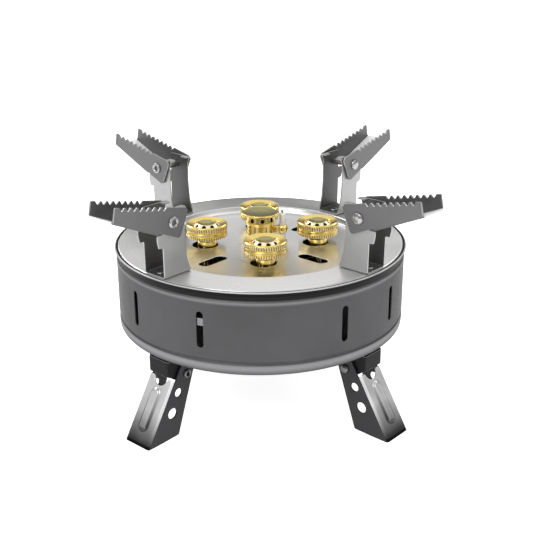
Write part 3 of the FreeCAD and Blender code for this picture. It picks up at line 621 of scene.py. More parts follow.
def brushed_plate():
    """Stainless steel brushed in circles. The lid is not quite flat: its recess is dished and its ring falls
    towards the edge. A line of painted shade runs round the step between them, and the edge is darker."""
    look = Shader("brushed_plate", grey(0.6), 1.0, 0.34)
    radius, angle, _ = look.polar()
    rings = look.joined(look.times(radius, 5000), look.times(angle, 1.2), 0.0)
    fine = look.noise(rings, 1.0, 2)
    broad = look.noise(look.position, 30, 3)
    steel_tone = look.mixed(look.ranged(fine, 0, 1), (0.76, 0.755, 0.745), (0.88, 0.875, 0.865))
    # Painted shade along the step; the edge is made darker.
    step_shaded = look.mixed(look.between(radius, *STEP_SHADE_BAND, 0.0008), steel_tone, grey(0.4))
    look.set("Base Color", look.mixed(look.ranged(radius, 0, 1, *LID_EDGE), step_shaded, grey(0.5)))
    look.set("Roughness", look.ranged(broad, 0.25, 0.36))
    look.main.inputs["Anisotropic"].default_value = 0.6
    tangent = look.tree.nodes.new("ShaderNodeTangent")
    tangent.direction_type = "RADIAL"
    tangent.axis = "Z"
    look.set("Tangent", tangent.outputs["Tangent"])
    in_recess = look.math("DIVIDE", look.math("MINIMUM", radius, DISH_EDGE), DISH_EDGE)
    dish = look.times(look.math("POWER", in_recess, 2.0), 0.0017)
    past_step = look.math("MAXIMUM", look.math("SUBTRACT", radius, RING_START), 0.0)
    fall = look.times(past_step, -0.055)
    look.bump(look.plus(dish, fall), 1.0, 1.0)
    return look.material


UNEVEN = 0.12


def metal(name, colour, roughness, scale=(60, 60, 900), contrast=0.16, metallic=1.0):
    """Bare or plated metal with fine streaks and uneven polish."""
    look = Shader(name, colour, metallic, roughness)
    streaks = look.noise(look.mapped(scale), 1.0, 3)
    cloud = look.noise(look.position, 45, 4)
    darker = tuple(channel * (1 - contrast) for channel in colour)
    brighter = tuple(min(1, channel * (1 + contrast)) for channel in colour)
    both = look.plus(look.times(streaks, 0.5), look.times(cloud, 0.5))
    look.set("Base Color", look.mixed(look.ranged(both, 0, 1), darker, brighter))
    look.set("Roughness", look.ranged(cloud, roughness * (1 - UNEVEN), roughness * (1 + UNEVEN)))
    look.bump(streaks, 0.06, 0.00005)
    return look.material


# The middle line of a leg's stamped rib runs between two heights. Shade is painted at these distances from
# it: along all of the rib, and in the pocket at its lower end. All in metres.
RIB_LOW, RIB_HIGH = 0.0097, 0.0251
WEB_PER_HEIGHT = 1.17
CREASE = (0.0018, 0.0041)
POCKET = (0.0005, 0.0038)
SHADE_BORDER = 0.0007


def leg_steel():
    """Satin steel of a leg's web, darkened towards the foot by painted shade, and black at the very end.
    Shade is painted in the crease round the stamped rib, most at its lower end. The legs stand at 45 degrees
    to the axes, so a point's distance from its leg's middle line is about a quarter of radius times sin(4
    angle)."""
    look = Shader("leg_steel", grey(0.6), 1.0, 0.34)
    radius, angle, height = look.polar()
    across = look.times(look.times(radius, look.math("SINE", look.times(angle, 4.0))), 0.25)
    below = look.math("MAXIMUM", look.math("SUBTRACT", RIB_LOW, height), 0.0)
    above = look.math("MAXIMUM", look.math("SUBTRACT", height, RIB_HIGH), 0.0)
    past = look.times(look.plus(below, above), WEB_PER_HEIGHT)
    away = look.math("SQRT", look.plus(look.math("POWER", past, 2.0), look.times(across, across)))
    # Painted shade along the rib's crease and in the pocket at its lower end.
    crease = look.times(look.between(away, *CREASE, SHADE_BORDER), look.ranged(height, 1, 0.35, 0.009, 0.026))
    pocket = look.times(look.between(away, *POCKET, SHADE_BORDER), look.ranged(below, 0, 1, 0.0, 0.001))
    cloud = look.noise(look.position, 60, 4)
    streaks = look.noise(look.mapped((160, 160, 40)), 1.0, 3)
    both = look.plus(look.times(streaks, 0.5), look.times(cloud, 0.5))
    steel_tone = look.mixed(look.ranged(both, 0, 1), grey(0.8), grey(0.95))
    steel_tone = look.mixed(look.math("MAXIMUM", crease, pocket), steel_tone, grey(0.03))
    # Painted shade darkening the web towards the foot.
    wavy = look.plus(height, look.times(cloud, 0.004))
    shaded_to_foot = look.mixed(look.ranged(wavy, 0, 1, 0.004, 0.021), grey(0.075), steel_tone)
    end = look.ranged(height, 0, 1, 0.0014, 0.0018)
    look.set("Base Color", look.mixed(end, grey(0.012), shaded_to_foot))
    look.set("Roughness", look.ranged(cloud, 0.3, 0.4))
    look.bump(streaks, 0.06, 0.00005)
    return look.material


def plain(name, colour, roughness, bump=0.05, contrast=0.12, shine=0.5):
    """A fine-grained plain material: ceramic, rubber, black paint, and the painted shade behind the burner
    ports.
    """
    look = Shader(name, colour, 0.0, roughness)
    look.main.inputs["Specular IOR Level"].default_value = shine
    grains = look.noise(look.position, 900, 3)
    darker = tuple(channel * (1 - contrast) for channel in colour)
    brighter = tuple(min(1, channel * (1 + contrast)) for channel in colour)
    look.set("Base Color", look.mixed(look.ranged(grains, 0, 1), darker, brighter))
    look.set("Roughness", look.ranged(grains, roughness * 0.85, min(1, roughness * 1.15)))
    look.bump(grains, bump, 0.00006)
    return look.material


add_camera()
add_stage()
PAINT = drum_paint()
PLATE = brushed_plate()
BRASS = metal("polished_brass", (0.86, 0.66, 0.22), 0.2, contrast=0.08)
# Painted shade in the grooves and painted highlight on the crests of a head's ribs and beads.
BRASS_GROOVE_SHADE = metal("brass_groove_shade", (0.26, 0.15, 0.035), 0.35, contrast=0.15)
CREST_HIGHLIGHT_BRASS = metal("brass_crest_highlight", (0.88, 0.73, 0.36), 0.3, contrast=0.06)
PORT_BRASS = metal("pale_brass", (0.88, 0.79, 0.55), 0.38, contrast=0.05)
# Near black, for the cores behind the burner ports: painted shade.
PORT_SHADE = plain("port_shade_plug", (0.01, 0.008, 0.005), 0.8)
CAP = metal("turned_cap", (0.4, 0.36, 0.15), 0.25, contrast=0.14)
SATIN = (90, 90, 90)
STEEL = metal("satin_steel", (0.125, 0.125, 0.127), 0.42, scale=SATIN, contrast=0.06, metallic=0.5)
# A much lighter copy of the steel for the inside of an arm's web: painted light.
LIT_ARM_FLOOR = metal("arm_floor_painted_light", grey(0.85), 0.4, scale=SATIN, contrast=0.12, metallic=0.25)
BRACKET_STEEL = metal("bracket_steel", grey(0.36), 0.4, scale=SATIN, contrast=0.07, metallic=0.6)
# A darker copy of the bracket's steel for its inner faces: painted shade.
BRACKET_INSIDE_SHADE = metal("bracket_inside_shade", grey(0.11), 0.45, scale=SATIN, contrast=0.1, metallic=0.6)
# Painted highlight along the cut edges of the arms: a lighter copy of their steel.
EDGE = metal("edge_highlight", grey(0.34), 0.35, contrast=0.1)
LEG_STEEL = leg_steel()
# Near black, for a leg's side walls, its inner face and its foot tab.
LEG_BLACK = plain("near_black_leg_steel", (0.013, 0.013, 0.015), 0.42, contrast=0.2, shine=0.3)
BLACK = plain("black_steel", (0.006, 0.006, 0.007), 0.5, contrast=0.2, shine=0.12)
# Painted highlight along the cut edges of the black leg brackets.
BLACK_EDGE = plain("black_edge_highlight", (0.12, 0.12, 0.125), 0.35, contrast=0.2, shine=0.6)
RIVET = metal("rivet_steel", grey(0.36), 0.3)
LEG_RIVET = metal("dark_rivet", grey(0.15), 0.35)
ZINC = metal("zinc_plate", grey(0.18), 0.4)
COPPER = metal("copper_tube", (0.07, 0.03, 0.018), 0.5)
# Brass darkened to painted shade, for the manifold and jets under the top plate.
SHADED_BRASS = metal("brass_in_painted_shade", (0.07, 0.045, 0.02), 0.5)
RUBBER = plain("seal_rubber", grey(0.02), 0.7)
CERAMIC = plain("glazed_ceramic", (0.82, 0.8, 0.74), 0.2, bump=0.02, contrast=0.04)
WIRE = metal("electrode_wire", grey(0.3), 0.4)

# ---- drum and top plate

drum_low, drum_high = corner_of("drum")
plate_low, plate_high = corner_of("top_plate")
SHEET = 0.8
RIM = drum_high.x
WALL = RIM - 0.8
FLOOR = drum_low.z
RIM_TOP = drum_high.z
ROUND_COUNT = 200
SLOT_ANGLES = (-57.3, -25.2, 29.1, 55.8)
SLOT_AZIMUTHS = [side * (angle - 90) for side in (1, -1) for angle in SLOT_ANGLES]
SLOT_LOW = 58.4
SLOT_HIGH = 78.4
SLOT_WIDTH = 3.8
BEAD_DROP = 1.7


def add_drum():
    middle = WALL - SHEET / 2
    floor = FLOOR + SHEET / 2
    bead = floor - BEAD_DROP
    shoulder = RIM_TOP - 6.0
    section = filleted([
        (0, floor), (30, floor), (31.2, floor + 0.7, 0.8), (60, floor + 0.7, 0.8), (61.2, floor, 0.8),
        (middle - 3.4, floor, 0.5), (middle - 3.2, bead, 0.6), (middle - 0.2, bead, 2.2),
        (middle + 0.15, bead + 3.6, 2.5), (middle - 0.1, bead + 5.4, 0.5), (middle - 0.7, bead + 6.3, 0.35),
        (middle - 0.7, bead + 7.1, 0.35), (middle, bead + 7.8, 0.4), (middle, shoulder, 0.4),
        (middle - 0.6, shoulder + 0.6, 0.4), (middle - 0.6, RIM_TOP - 0.3), (0, RIM_TOP - 0.3)])[:-1]
    pressed = Pressed(section)
    outer = pressed.lengths[-1]
    loops = [circle(0, 0, outer, ROUND_COUNT), circle(0, 0, 1.0, ROUND_COUNT, clockwise=True)]
    low = pressed.distance_at(SLOT_LOW)
    high = pressed.distance_at(SLOT_HIGH)
    for azimuth in SLOT_AZIMUTHS:
        loops.append(wall_slot(math.radians(azimuth), low, high, middle))
    bm = bmesh.new()
    add_sheet(bm, loops, pressed.place, SHEET / 2 - 0.02, 0.2, pressed.grid(ROUND_COUNT, spacing=3.0), 0.9)
    hem = filleted([(middle - 0.4, RIM_TOP - 1.3, 0.3), (RIM, RIM_TOP - 1.3, 0.5), (RIM, RIM_TOP, 0.5),
                    (middle - 0.4, RIM_TOP, 0.3)])
    add_lathe(bm, hem, count=ROUND_COUNT)
    add_piece("drum_shell", bm, PAINT, "root", ["drum"])


def wall_slot(azimuth, low, high, radius):
    """An upright slot with round ends in the drum's wall, on the flat sheet, clockwise."""
    points = []
    for spot in obround((low + high) / 2, 0, SLOT_WIDTH, high - low):
        angle = azimuth + spot.y / radius
        points.append(Vector((spot.x * math.cos(angle), spot.x * math.sin(angle))))
    return dense(points, 2.0)


HEAD_CIRCLE = 31.8
HEAD_HOLE = 7.4
NECK_HOLE = 8.1
RECESS = 60.0
AIR_SLOT = 39.0
AIR_SLOT_WIDTH = 7.2
AIR_SLOT_LENGTH = 19.0
ELECTRODE_PLACE = 12.7
ELECTRODE_HOLE = 1.95
RECESS_FLOOR = plate_high.z - 3.2


def add_top_plate():
    ring = plate_high.z - SHEET / 2
    floor = RECESS_FLOOR - SHEET / 2
    edge = plate_high.x - SHEET / 2
    section = filleted([
        (0, floor), (RECESS, floor, 0.9), (RECESS + 1.7, ring, 0.9), (edge, ring, 0.6),
        (edge, plate_low.z + 0.1), (0, plate_low.z + 0.1)])[:-1]
    pressed = Pressed(section)
    loops = [circle(0, 0, pressed.lengths[-1], ROUND_COUNT), circle(0, 0, NECK_HOLE, 48, clockwise=True)]
    for azimuth in SIDES.values():
        loops.append(circle(*at_azimuth(azimuth, HEAD_CIRCLE), HEAD_HOLE, 48, clockwise=True))
    for azimuth in CORNERS.values():
        loops.append(obround(*at_azimuth(azimuth, AIR_SLOT), AIR_SLOT_WIDTH, AIR_SLOT_LENGTH,
                             math.radians(azimuth)))
    loops.append(circle(ELECTRODE_PLACE, 0, ELECTRODE_HOLE, 20, clockwise=True))
    bm = bmesh.new()
    add_sheet(bm, loops, pressed.place, SHEET / 2, 0.25, pressed.grid(ROUND_COUNT, spacing=12.0), 1.2)
    add_piece("top_plate_sheet", bm, PLATE, "root", ["top_plate"])


add_drum()
add_top_plate()

# ---- burner heads

PORTS = 8
head_low, head_high = corner_of("burner_head_right")
RING = (head_high.y - head_low.y) / 2
RING_TOP = head_high.z
MOUTH = 7.6
STEM = 5.3
STEM_FOOT = head_low.z
RIBS = 52
RIB_DEPTH = 0.5
BEAD_DEPTH = 0.45
HEAD_COUNT = RIBS * 6
CAP_PORT = 1.25
HEAD_DRIFT = 1.1
HEAD_TURNS = {"front": 12.0, "right": -8.0, "left": -14.5, "rear": 6.0}


def between(value, low, high, soft):
    """1 between low and high, falling to 0 over a soft border."""
    return max(0.0, min(1.0, (value - low) / soft, (high - value) / soft))


def head_ripple(point, angle):
    """Ribs round the upper ring and a row of small beads round the lower edge."""
    if point.x < MOUTH + 2:
        return 0.0
    wave = abs(math.sin(angle * RIBS / 2))
    ribs = between(point.y, RING_TOP - 3.2, RING_TOP - 0.75, 0.3)
    beads = between(point.y, RING_TOP - 7.55, RING_TOP - 6.1, 0.2)
    return -RIB_DEPTH * (1 - wave) * ribs - BEAD_DEPTH * (1 - wave) * beads


def brass_part(radius, height, angle):
    """The material number of a head's face: 1 at the bottom of a groove between ribs or beads, where shade
    is painted, 2 on their crests, where a highlight is painted, and 0 elsewhere."""
    ribs = RING_TOP - 3.1 < height < RING_TOP - 0.75
    beads = RING_TOP - 7.45 < height < RING_TOP - 6.1
    if radius < RING - 1.2 or not (ribs or beads):
        return 0
    return 1 if abs(math.sin(angle * RIBS / 2)) < 0.45 else 2


def head_place(side):
    """The middle of an outer head, which stands a little to one side in its wide hole."""
    x, y = at_azimuth(SIDES[side], HEAD_CIRCLE)
    return Vector((x + HEAD_DRIFT, y, 0))


def add_outer_head(side):
    place = head_place(side)
    top = RING_TOP
    profile = filleted([
        (3.6, STEM_FOOT), (STEM, STEM_FOOT, 0.3), (STEM, 88.0), (STEM, top - 10.1, 0.8),
        (RING - 1.7, top - 8.0, 0.4), (RING - 0.1, top - 7.45, 0.15), (RING - 0.05, top - 7.1),
        (RING - 0.05, top - 6.6), (RING - 0.1, top - 6.2, 0.1), (RING - 0.6, top - 6.0, 0.15),
        (RING - 0.6, top - 5.8, 0.15), (RING - 0.15, top - 5.5, 0.5), (RING - 0.25, top - 4.7, 4.0),
        (RING - 0.15, top - 3.85, 0.4), (RING - 0.65, top - 3.6, 0.15), (RING - 0.6, top - 3.4, 0.15),
        (RING, top - 3.15, 0.1), (RING, top - 2.8), (RING, top - 2.0), (RING, top - 1.1), (RING, top - 0.75),
        (RING, top - 0.4, 0.25), (RING - 0.55, top, 0.3), (MOUTH + 0.25, top - 0.95, 0.3),
        (MOUTH, top - 1.5, 0.3), (MOUTH - 0.1, top - 4.3), (3.6, top - 4.5)])
    bm = bmesh.new()
    add_lathe(bm, profile, place, HEAD_COUNT, head_ripple)
    for face in bm.faces:
        spot = face.calc_center_median() - place
        face.material_index = brass_part(math.hypot(spot.x, spot.y), spot.z, math.atan2(spot.y, spot.x))
    add_piece(f"burner_head_{side}_brass", bm, (BRASS, BRASS_GROOVE_SHADE, CREST_HIGHLIGHT_BRASS), "root",
              [f"burner_head_{side}"])


def ported(section, holes, radius, turn, squeeze, start=0.0):
    """A turned sheet with round ports in a ring at the flat distance holes, turned by turn in degrees
    and squeezed along the ring."""
    pressed = Pressed(section, start)
    count = 96
    loops = [circle(0, 0, pressed.lengths[-1], count)]
    if pressed.lengths[0] > 0:
        loops.append(circle(0, 0, pressed.lengths[0], count, clockwise=True))
    for port in range(PORTS):
        angle = math.radians(turn - 90) + TURN * port / PORTS
        ring = []
        for spot in circle(0, 0, radius, 20, clockwise=True):
            along = holes + spot.x
            around = angle + spot.y * squeeze / holes
            ring.append(Vector((along * math.cos(around), along * math.sin(around))))
        loops.append(ring)
    return pressed, loops, pressed.grid(count, spacing=0.9)


def add_outer_cap(side):
    """The ported cap inside an outer head: a pale cone with a dished top."""
    centre = head_place(side)
    top = RING_TOP + 0.2
    section = filleted([(0, top - 1.6), (4.2, top - 1.3, 1.0), (4.9, top - 0.4, 0.35),
                        (7.3, top - 2.2, 0.3), (7.35, top - 4.3), (0, top - 20)])[:-1]
    half_way = 4.2 + math.hypot(0.7, 0.9) + 0.52 * math.hypot(2.4, 1.8)
    pressed, loops, grid = ported(section, half_way, CAP_PORT, HEAD_TURNS[side], squeeze=1.1)
    bm = bmesh.new()

    def place(u, v, w):
        x, y, z = pressed.place(u, v, w)
        return (x + centre.x, y + centre.y, z)

    add_sheet(bm, loops, place, 0.25, 0.08, grid, 0.35)
    add_piece(f"burner_cap_{side}_ported", bm, PORT_BRASS, "root", [f"burner_cap_{side}"])
    dish = [(0, top - 0.92), (1.5, top - 0.9, 1), (4.3, top - 0.42, 0.8), (5.1, top - 0.02, 0.12),
            (5.25, top - 0.2, 0.1), (4.9, top - 0.5, 0.1), (4.0, top - 0.75), (0, top - 1.2)]
    add_turned(f"burner_cap_{side}_dish", dish, CAP, place=centre)
    # A near-black core under the ports: painted shade inside the cap.
    core = [(0, top - 2.4), (4.4, top - 1.9, 0.4), (6.8, top - 3.1, 0.3), (6.8, top - 4.1), (0, top - 4.1)]
    add_turned(f"burner_cap_{side}_core", core, PORT_SHADE, place=centre, count=48)


_, dish_high = corner_of("burner_cap_middle")
DISH = dish_high.x
DISH_TOP = dish_high.z
NECK = 7.8
BAND_LOW = 101.3
BAND = 8.7
BAND_PORT = 1.35
BAND_PORT_RADIUS = 7.7
BAND_PORT_NARROW = 0.88
BAND_TURN = 6.5


def add_middle_head():
    """The raised middle head: a smooth neck, a conical band with round ports, and a dished cap."""
    bm = bmesh.new()
    neck = filleted([(5.0, STEM_FOOT), (NECK, STEM_FOOT, 0.3), (NECK, BAND_LOW - 0.7, 0.5),
                     (BAND, BAND_LOW - 0.1, 0.3), (BAND, BAND_LOW + 0.5, 0.2),
                     (BAND - 0.75, BAND_LOW + 0.75), (BAND - 2.0, BAND_LOW + 0.6), (5.0, BAND_LOW - 1.2)])
    add_lathe(bm, neck, count=128)
    low = Vector((BAND - 0.55, BAND_LOW + 0.35))
    high = Vector((NECK - 0.85, DISH_TOP - 1.4))
    length = (high - low).length
    start = 6.0
    section = [high.lerp(low, share / 4) for share in range(5)]
    holes = start + length * 0.56
    squeeze = BAND_PORT_NARROW * holes / BAND_PORT_RADIUS
    pressed, loops, grid = ported(section, holes, BAND_PORT, BAND_TURN, squeeze, start)
    add_sheet(bm, loops, pressed.place, 0.35, 0.1, grid, 0.45)
    add_piece("burner_head_middle_brass", bm, BRASS, "root", ["burner_head_middle"])
    top = DISH_TOP
    rim = [(DISH - 1.3, top - 0.35, 0.1), (DISH - 0.9, top - 0.02, 0.2), (DISH, top - 0.02, 0.3),
           (DISH, top - 0.7, 0.3), (DISH - 0.7, top - 1.15, 0.3), (NECK - 0.6, top - 1.7, 0.4),
           (5.6, top - 1.7), (5.6, top - 1.3)]
    add_turned("burner_cap_middle_rim", rim, BRASS, ["burner_cap_middle"], count=128)
    dish = [(0, top - 0.95), (3, top - 0.9, 3), (8.2, top - 0.45, 3), (DISH - 0.95, top - 0.12, 0.1),
            (DISH - 1.2, top - 0.5), (6.0, top - 1.2), (0, top - 1.4)]
    add_turned("burner_cap_middle_dish", dish, CAP, count=128)
    # A near-black core behind the band's ports: painted shade inside the head.
    core = [(0, top - 2.0), (NECK - 1.7, top - 2.0, 0.3), (BAND - 1.5, BAND_LOW + 1.0, 0.3),
            (0, BAND_LOW + 1.0)]
    add_turned("burner_head_middle_core", core, PORT_SHADE, count=64)


def add_electrode():
    """The spark electrode: a white ceramic sleeve in a rounded brass collar on the middle head's neck."""
    low, high = corner_of("electrode_ceramic")
    centre = Vector(((low.x + high.x) / 2, (low.y + high.y) / 2, 0))
    clip_low, clip_high = corner_of("electrode_clip")
    sleeve = [(0, low.z), (1.7, low.z, 0.2), (1.7, high.z - 0.6, 0.5), (0.9, high.z, 0.3), (0, high.z)]
    add_turned("electrode_sleeve", sleeve, CERAMIC, ["electrode_ceramic"], centre, 40)
    bm = bmesh.new()
    foot, top = clip_low.z, clip_high.z
    collar = filleted([(1.6, foot + 0.4), (2.4, foot + 0.3, 0.6), (3.1, foot + 1.6, 0.9),
                       (3.1, top - 1.2, 0.9), (2.4, top - 0.1, 0.5), (1.6, top - 0.1)])
    add_lathe(bm, collar, centre, 48)
    bridge = filleted([(NECK - 0.6, -1.9), (centre.x - 1.7, -1.9), (centre.x - 1.7, 1.9), (NECK - 0.6, 1.9)])
    middle = (foot + top) / 2
    half = (top - foot) / 2 - 0.7
    add_sheet(bm, [bridge], lambda u, v, w: (u, v + centre.y, middle + w), half, 0.4)
    add_piece("electrode_collar", bm, BRASS, "root", ["electrode_clip"])


# ---- pot arms and their brackets


def pivot_of(name):
    """A joint's place in its radial plane, in millimetres."""
    x, y, z = next(joint["pos_m"] for joint in frame["joints"] if joint["name"] == name)
    return Vector((math.hypot(x, y) / MM, z / MM))


ARM_PIVOT = pivot_of("front_right_arm_fold")
LEG_PIVOT = pivot_of("front_right_leg_fold")
ARM_SHEET = 1.0
ARM_HALF = 9.5
ARM_TIP = Vector((112.5, 137.6))
ARM_TOE = Vector((114.5, 129.7))
ARM_HEEL = Vector((66.6, 127.4))
ARM_KNEE = Vector((85.0, 116.3))
TEETH = 8
TOOTH_PITCH = 3.94
TOOTH_WIDTH = 3.2
TOOTH_DEPTH = 1.9
FIRST_TOOTH = 13.3


def arm_notches():
    """The notches of an arm's upper edge, from the tip towards the heel."""
    along = (ARM_TIP - ARM_HEEL).normalized()
    down = Vector((along.y, -along.x))
    notches = []
    for step in reversed(range(TEETH)):
        start = FIRST_TOOTH + TOOTH_PITCH * step
        for distance, depth, radius in ((start + TOOTH_WIDTH, 0, 0.3),
                                        (start + TOOTH_WIDTH / 2, TOOTH_DEPTH + 0.15, 0.3),
                                        (start, 0, 0.3)):
            spot = ARM_HEEL + along * distance + down * depth
            notches.append((spot.x, spot.y, radius))
    return notches


def arm_mesh():
    run = ARM_TOE - ARM_KNEE
    up = Vector((-run.y, run.x)).normalized()
    channel = Channel(ARM_KNEE + up * ARM_SHEET / 2, run, ARM_HALF, ARM_SHEET, 1.0)
    wall = [(ARM_TIP.x, ARM_TIP.y, 0.7), *arm_notches(), (ARM_HEEL.x, ARM_HEEL.y, 1.6),
            (ARM_HEEL.x - 1.2, ARM_HEEL.y - 2.0, 1.0), (71.5, 111.5, 2.0)]
    ends = (0.4, run.length)
    outline = filleted(channel.outline(wall, ends))
    bm = bmesh.new()
    add_sheet(bm, [dense(outline, 1.2)], channel.place, ARM_SHEET / 2, 0.16,
              channel.bend_grid(ends[0] + 0.5, ends[1] - 0.5), 0.35, 1)
    rise = Vector((up.x, 0, up.y))
    skin = Vector((ARM_KNEE.x, 0, ARM_KNEE.y)).dot(rise) + ARM_SHEET / 2
    # The inside of the web takes the third material, the lighter copy of the steel: painted light.
    for face in bm.faces:
        middle = face.calc_center_median()
        if abs(middle.y) < ARM_HALF - 1.6 and skin < middle.dot(rise) < skin + ARM_SHEET:
            face.material_index = 2
    return bm


BRACKET_HALF = 7.8


def bracket_mesh():
    base = plate_high.z
    top = ARM_HEEL.y
    step = ARM_KNEE.y - 0.3
    channel = Channel((0, base + SHEET / 2), (1, 0), BRACKET_HALF, SHEET, 0.9)
    wall = [(81.6, step - 7.2, 0.6), (84.5, step - 6.9, 0.5), (85.3, step - 3.0, 1.0), (85.3, step, 0.5),
            (81.4, step, 0.5), (81.4, top, 1.6), (64.8, top, 1.0), (66.3, top - 4.2, 4.0),
            (66.5, top - 16.0, 30.0), (65.6, top - 27.0, 16.0), (63.2, base + 1.4, 1.0)]
    ends = (62.8, 81.4)
    outline = filleted(channel.outline(wall, ends))
    bm = bmesh.new()
    # The inner face takes the third material, the darker copy of the steel: painted shade.
    add_sheet(bm, [dense(outline, 1.5)], channel.place, SHEET / 2, 0.14,
              channel.bend_grid(ends[0] + 0.5, ends[1] - 0.5), 0.35, 1, 2)
    for side in (1, -1):
        inner, outer = side * 4.2, side * (BRACKET_HALF - 0.3)
        tab = filleted([(64.9, inner, 0.5), (69.5, inner, 0.5), (69.9, outer), (64.9, outer)])
        if side < 0:
            tab = tab[::-1]
        add_sheet(bm, [dense(tab, 1.5)], lambda u, v, w: (u, v, top - SHEET / 2 + w), SHEET / 2, 0.14,
                  edge_material=1)
    return bm


def pivot_rivet(bm, pivot, half, size):
    """A rivet along the tangent: a domed head at one end and a rolled hollow end at the other."""
    side = half + 0.12
    profile = filleted([
        (0, -side - 1.7), (1.6, -side - 1.55, 1.2), (2.9, -side - 0.9, 0.8), (3.2, -side - 0.15, 0.15),
        (3.1, -side), (2.0, -side), (2.0, side), (3.15, side, 0.1), (3.2, side + 0.35, 0.35),
        (2.75, side + 0.95, 0.35), (2.1, side + 1.1, 0.4), (1.45, side + 0.55, 0.3), (1.35, side - 1.5, 0.4),
        (0, side - 2.2)])
    add_lathe(bm, [Vector((point.x * size, point.y)) for point in profile], count=48)
    lay = Matrix.Translation((pivot.x, 0, pivot.y)) @ Matrix.Rotation(-math.pi / 2, 4, "X")
    bmesh.ops.transform(bm, matrix=lay, verts=bm.verts)


# ---- legs and their brackets

WEB_TOP = Vector((80.1, 33.1))
FOOT = Vector((100.4, 0.0))
FOOT_IN = Vector((77.6, 0.0))
LEG_HALF = 9.3
NOTCH = 4.9
RIB_START = 6.2
RIB_LENGTH = 24.4
RIB_WIDTH = 6.4
RIB_RISE = 1.0
RIB_SLOPE = 0.3
RIB_GRID = 0.4


def rib_height(along, across):
    """How far the stamped rib stands out of the web at a flat point."""
    low, high = RIB_START + RIB_WIDTH / 2, RIB_START + RIB_LENGTH - RIB_WIDTH / 2
    nearest = min(max(along, low), high)
    away = math.hypot(along - nearest, across) / (RIB_WIDTH / 2)
    if away >= 1:
        return 0.0
    return RIB_RISE * min(1.0, (1 - away) / RIB_SLOPE)


def leg_mesh():
    """A leg: web, two side walls with holes, and a turned-in foot. The outside of the web takes the
    first material, and everything else the second."""
    run = WEB_TOP - FOOT
    inward = Vector((-run.y, run.x)).normalized()
    channel = Channel(FOOT + inward * ARM_SHEET / 2, run, LEG_HALF, ARM_SHEET, 1.0)
    top = run.length
    edge = channel.flat + channel.arc
    wall = [(75.6, 43.6, 1.5), (66.0, 43.6, 3.0), (63.9, 38.6, 3.0), (65.3, 34.7, 2.0),
            (FOOT_IN.x, FOOT_IN.y + 0.1, 0.6)]
    rise = [(78.0, 37.0, 1.5), (76.4, 41.0, 1.5)]
    side = [(top - 0.5, edge + 0.4, 0.6)]
    side += [channel.flat_of(*point[:2]).to_tuple() + tuple(point[2:]) for point in rise + wall]
    side += [(0.1, edge, 0.2)]
    notch = [(top - NOTCH * math.sin(turn), NOTCH * math.cos(turn))
             for turn in (math.pi * step / 16 for step in range(1, 16))]
    horn = [(top, NOTCH + 0.7, 0.6)]
    other = [(point[0], -point[1], *point[2:]) for point in reversed(horn + side)]
    notch = [(point[0], -point[1]) for point in notch]
    outline = filleted([*horn, *side, *other, *notch])
    holes = []
    for x, y, radius in ((76.7, 25.3, 2.5), (81.6, 14.5, 3.1)):
        spot = channel.flat_of(x, y)
        holes.append(circle(spot.x, spot.y, radius, 28, clockwise=True))
        holes.append(circle(spot.x, -spot.y, radius, 28, clockwise=True))
    grid = channel.bend_grid(0.5, top - 1.0)
    for i in range(int(RIB_LENGTH / RIB_GRID) + 4):
        for j in range(-9, 10):
            grid.append(Vector((top - RIB_START + 2 * RIB_GRID - i * RIB_GRID, j * RIB_GRID)))

    def place(u, v, w):
        return channel.place(u, v, w + rib_height(top - u, v))

    bm = bmesh.new()
    add_sheet(bm, [dense(outline, 1.2), *holes], place, ARM_SHEET / 2, 0.16, grid, 0.25)
    tab_half = channel.flat - 0.4
    tab = filleted([(94.5, -tab_half, 0.8), (FOOT.x - 1.0, -tab_half), (FOOT.x - 1.0, tab_half),
                    (94.5, tab_half, 0.8)])
    add_sheet(bm, [dense(tab, 1.5)], lambda u, v, w: (u, v, ARM_SHEET / 2 + 0.02 + w), ARM_SHEET / 2, 0.14)
    outward = Vector((run.y, 0, -run.x)).normalized()
    skin = Vector((FOOT.x, 0, FOOT.y)).dot(outward) - ARM_SHEET / 2
    for face in bm.faces:
        middle = face.calc_center_median()
        if abs(middle.y) > LEG_HALF - 0.12 or middle.dot(outward) < skin - 0.6:
            face.material_index = 1
    return bm


EAR_HALF = 7.9
EAR_PLATE = 81.9
EAR_BASE = EAR_HALF - 1.0


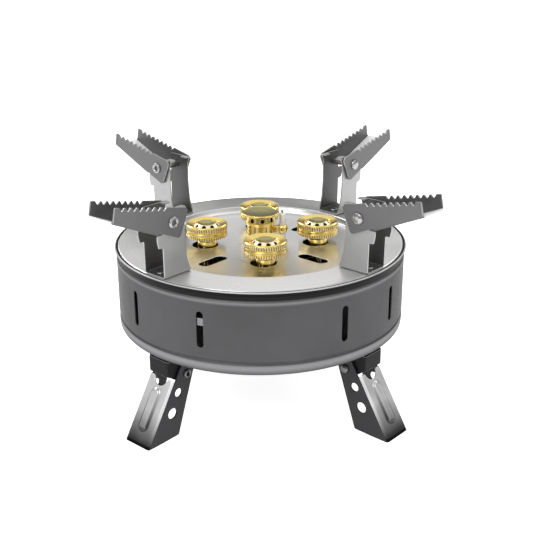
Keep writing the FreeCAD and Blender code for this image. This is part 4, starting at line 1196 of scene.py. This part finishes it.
def leg_bracket_mesh():
    """A bracket under the drum: an outer plate, two flanges and a base tab."""
    channel = Channel((EAR_PLATE - SHEET / 2, 0), (0, 1), EAR_HALF, SHEET, 0.9)
    edge = channel.flat + channel.arc
    flange = [(79.0, FLOOR - 0.4, 0.3), (64.5, FLOOR - 0.4, 0.5), (64.5, 33.0, 1.0), (66.0, 31.5, 1.5),
              (73.0, 31.0, 1.5), (78.2, 33.2, 0.5)]
    side = [(44.1, edge - 0.6, 0.9)]
    side += [(*channel.flat_of(*point[:2]), point[2]) for point in flange]
    side += [(35.4, edge - 0.6, 0.9)]
    other = [(along, -across, rounding) for along, across, rounding in reversed(side)]
    bm = bmesh.new()
    add_sheet(bm, [dense(filleted([*side, *other]), 1.2)], channel.place, SHEET / 2, 0.14,
              channel.bend_grid(34.0, 43.9, 0.9), 0.3, 1)
    base = filleted([(64.6, -EAR_BASE, 0.4), (79.0, -EAR_BASE, 0.4), (79.0, EAR_BASE, 0.4),
                     (64.6, EAR_BASE, 0.4)])
    lift = FLOOR - SHEET / 2 - 0.01
    add_sheet(bm, [dense(base, 2.0)], lambda u, v, w: (u, v, lift + w), SHEET / 2 - 0.02, 0.12)
    return bm


# ---- the corners

for corner, azimuth in CORNERS.items():
    add_piece(f"pot_arm_{corner}_sheet", arm_mesh(), (STEEL, EDGE, LIT_ARM_FLOOR), f"{corner}_arm",
              [f"pot_arm_{corner}"], azimuth)
    add_piece(f"arm_bracket_{corner}_sheet", bracket_mesh(), (BRACKET_STEEL, BRACKET_STEEL, BRACKET_INSIDE_SHADE),
              "root", [f"arm_bracket_{corner}"], azimuth)
    add_piece(f"leg_{corner}_sheet", leg_mesh(), (LEG_STEEL, LEG_BLACK), f"{corner}_leg",
              [f"leg_{corner}"], azimuth)
    add_piece(f"leg_bracket_{corner}_sheet", leg_bracket_mesh(), (BLACK, BLACK_EDGE), "root",
              [f"leg_bracket_{corner}"], azimuth)
    for kind, pivot, half, size, steel in (("arm", ARM_PIVOT, ARM_HALF, 1.0, RIVET),
                                           ("leg", LEG_PIVOT, LEG_HALF, 0.78, LEG_RIVET)):
        bm = bmesh.new()
        pivot_rivet(bm, pivot, half, size)
        add_piece(f"{kind}_rivet_{corner}_turned", bm, steel, "root",
                  [f"{kind}_rivet_{corner}"], azimuth)

for side in SIDES:
    add_outer_head(side)
    add_outer_cap(side)
add_middle_head()

add_electrode()
coat(["wall_strap"], ZINC)
# The parts under the plate take the darkened brass: painted shade.
coat(["manifold_hub", "gas_jets"] + [f"jet_holder_{side}" for side in SIDES], SHADED_BRASS)
coat([f"manifold_pipe_{side}" for side in SIDES] + ["feed_pipe"], COPPER)
coat(["gas_inlet", "inlet_nut"], BRASS)
coat(["inlet_seal"], RUBBER)
coat(["electrode_wire"], WIRE)
coat(["arm_bracket_rivets", "leg_bracket_rivets"], RIVET)
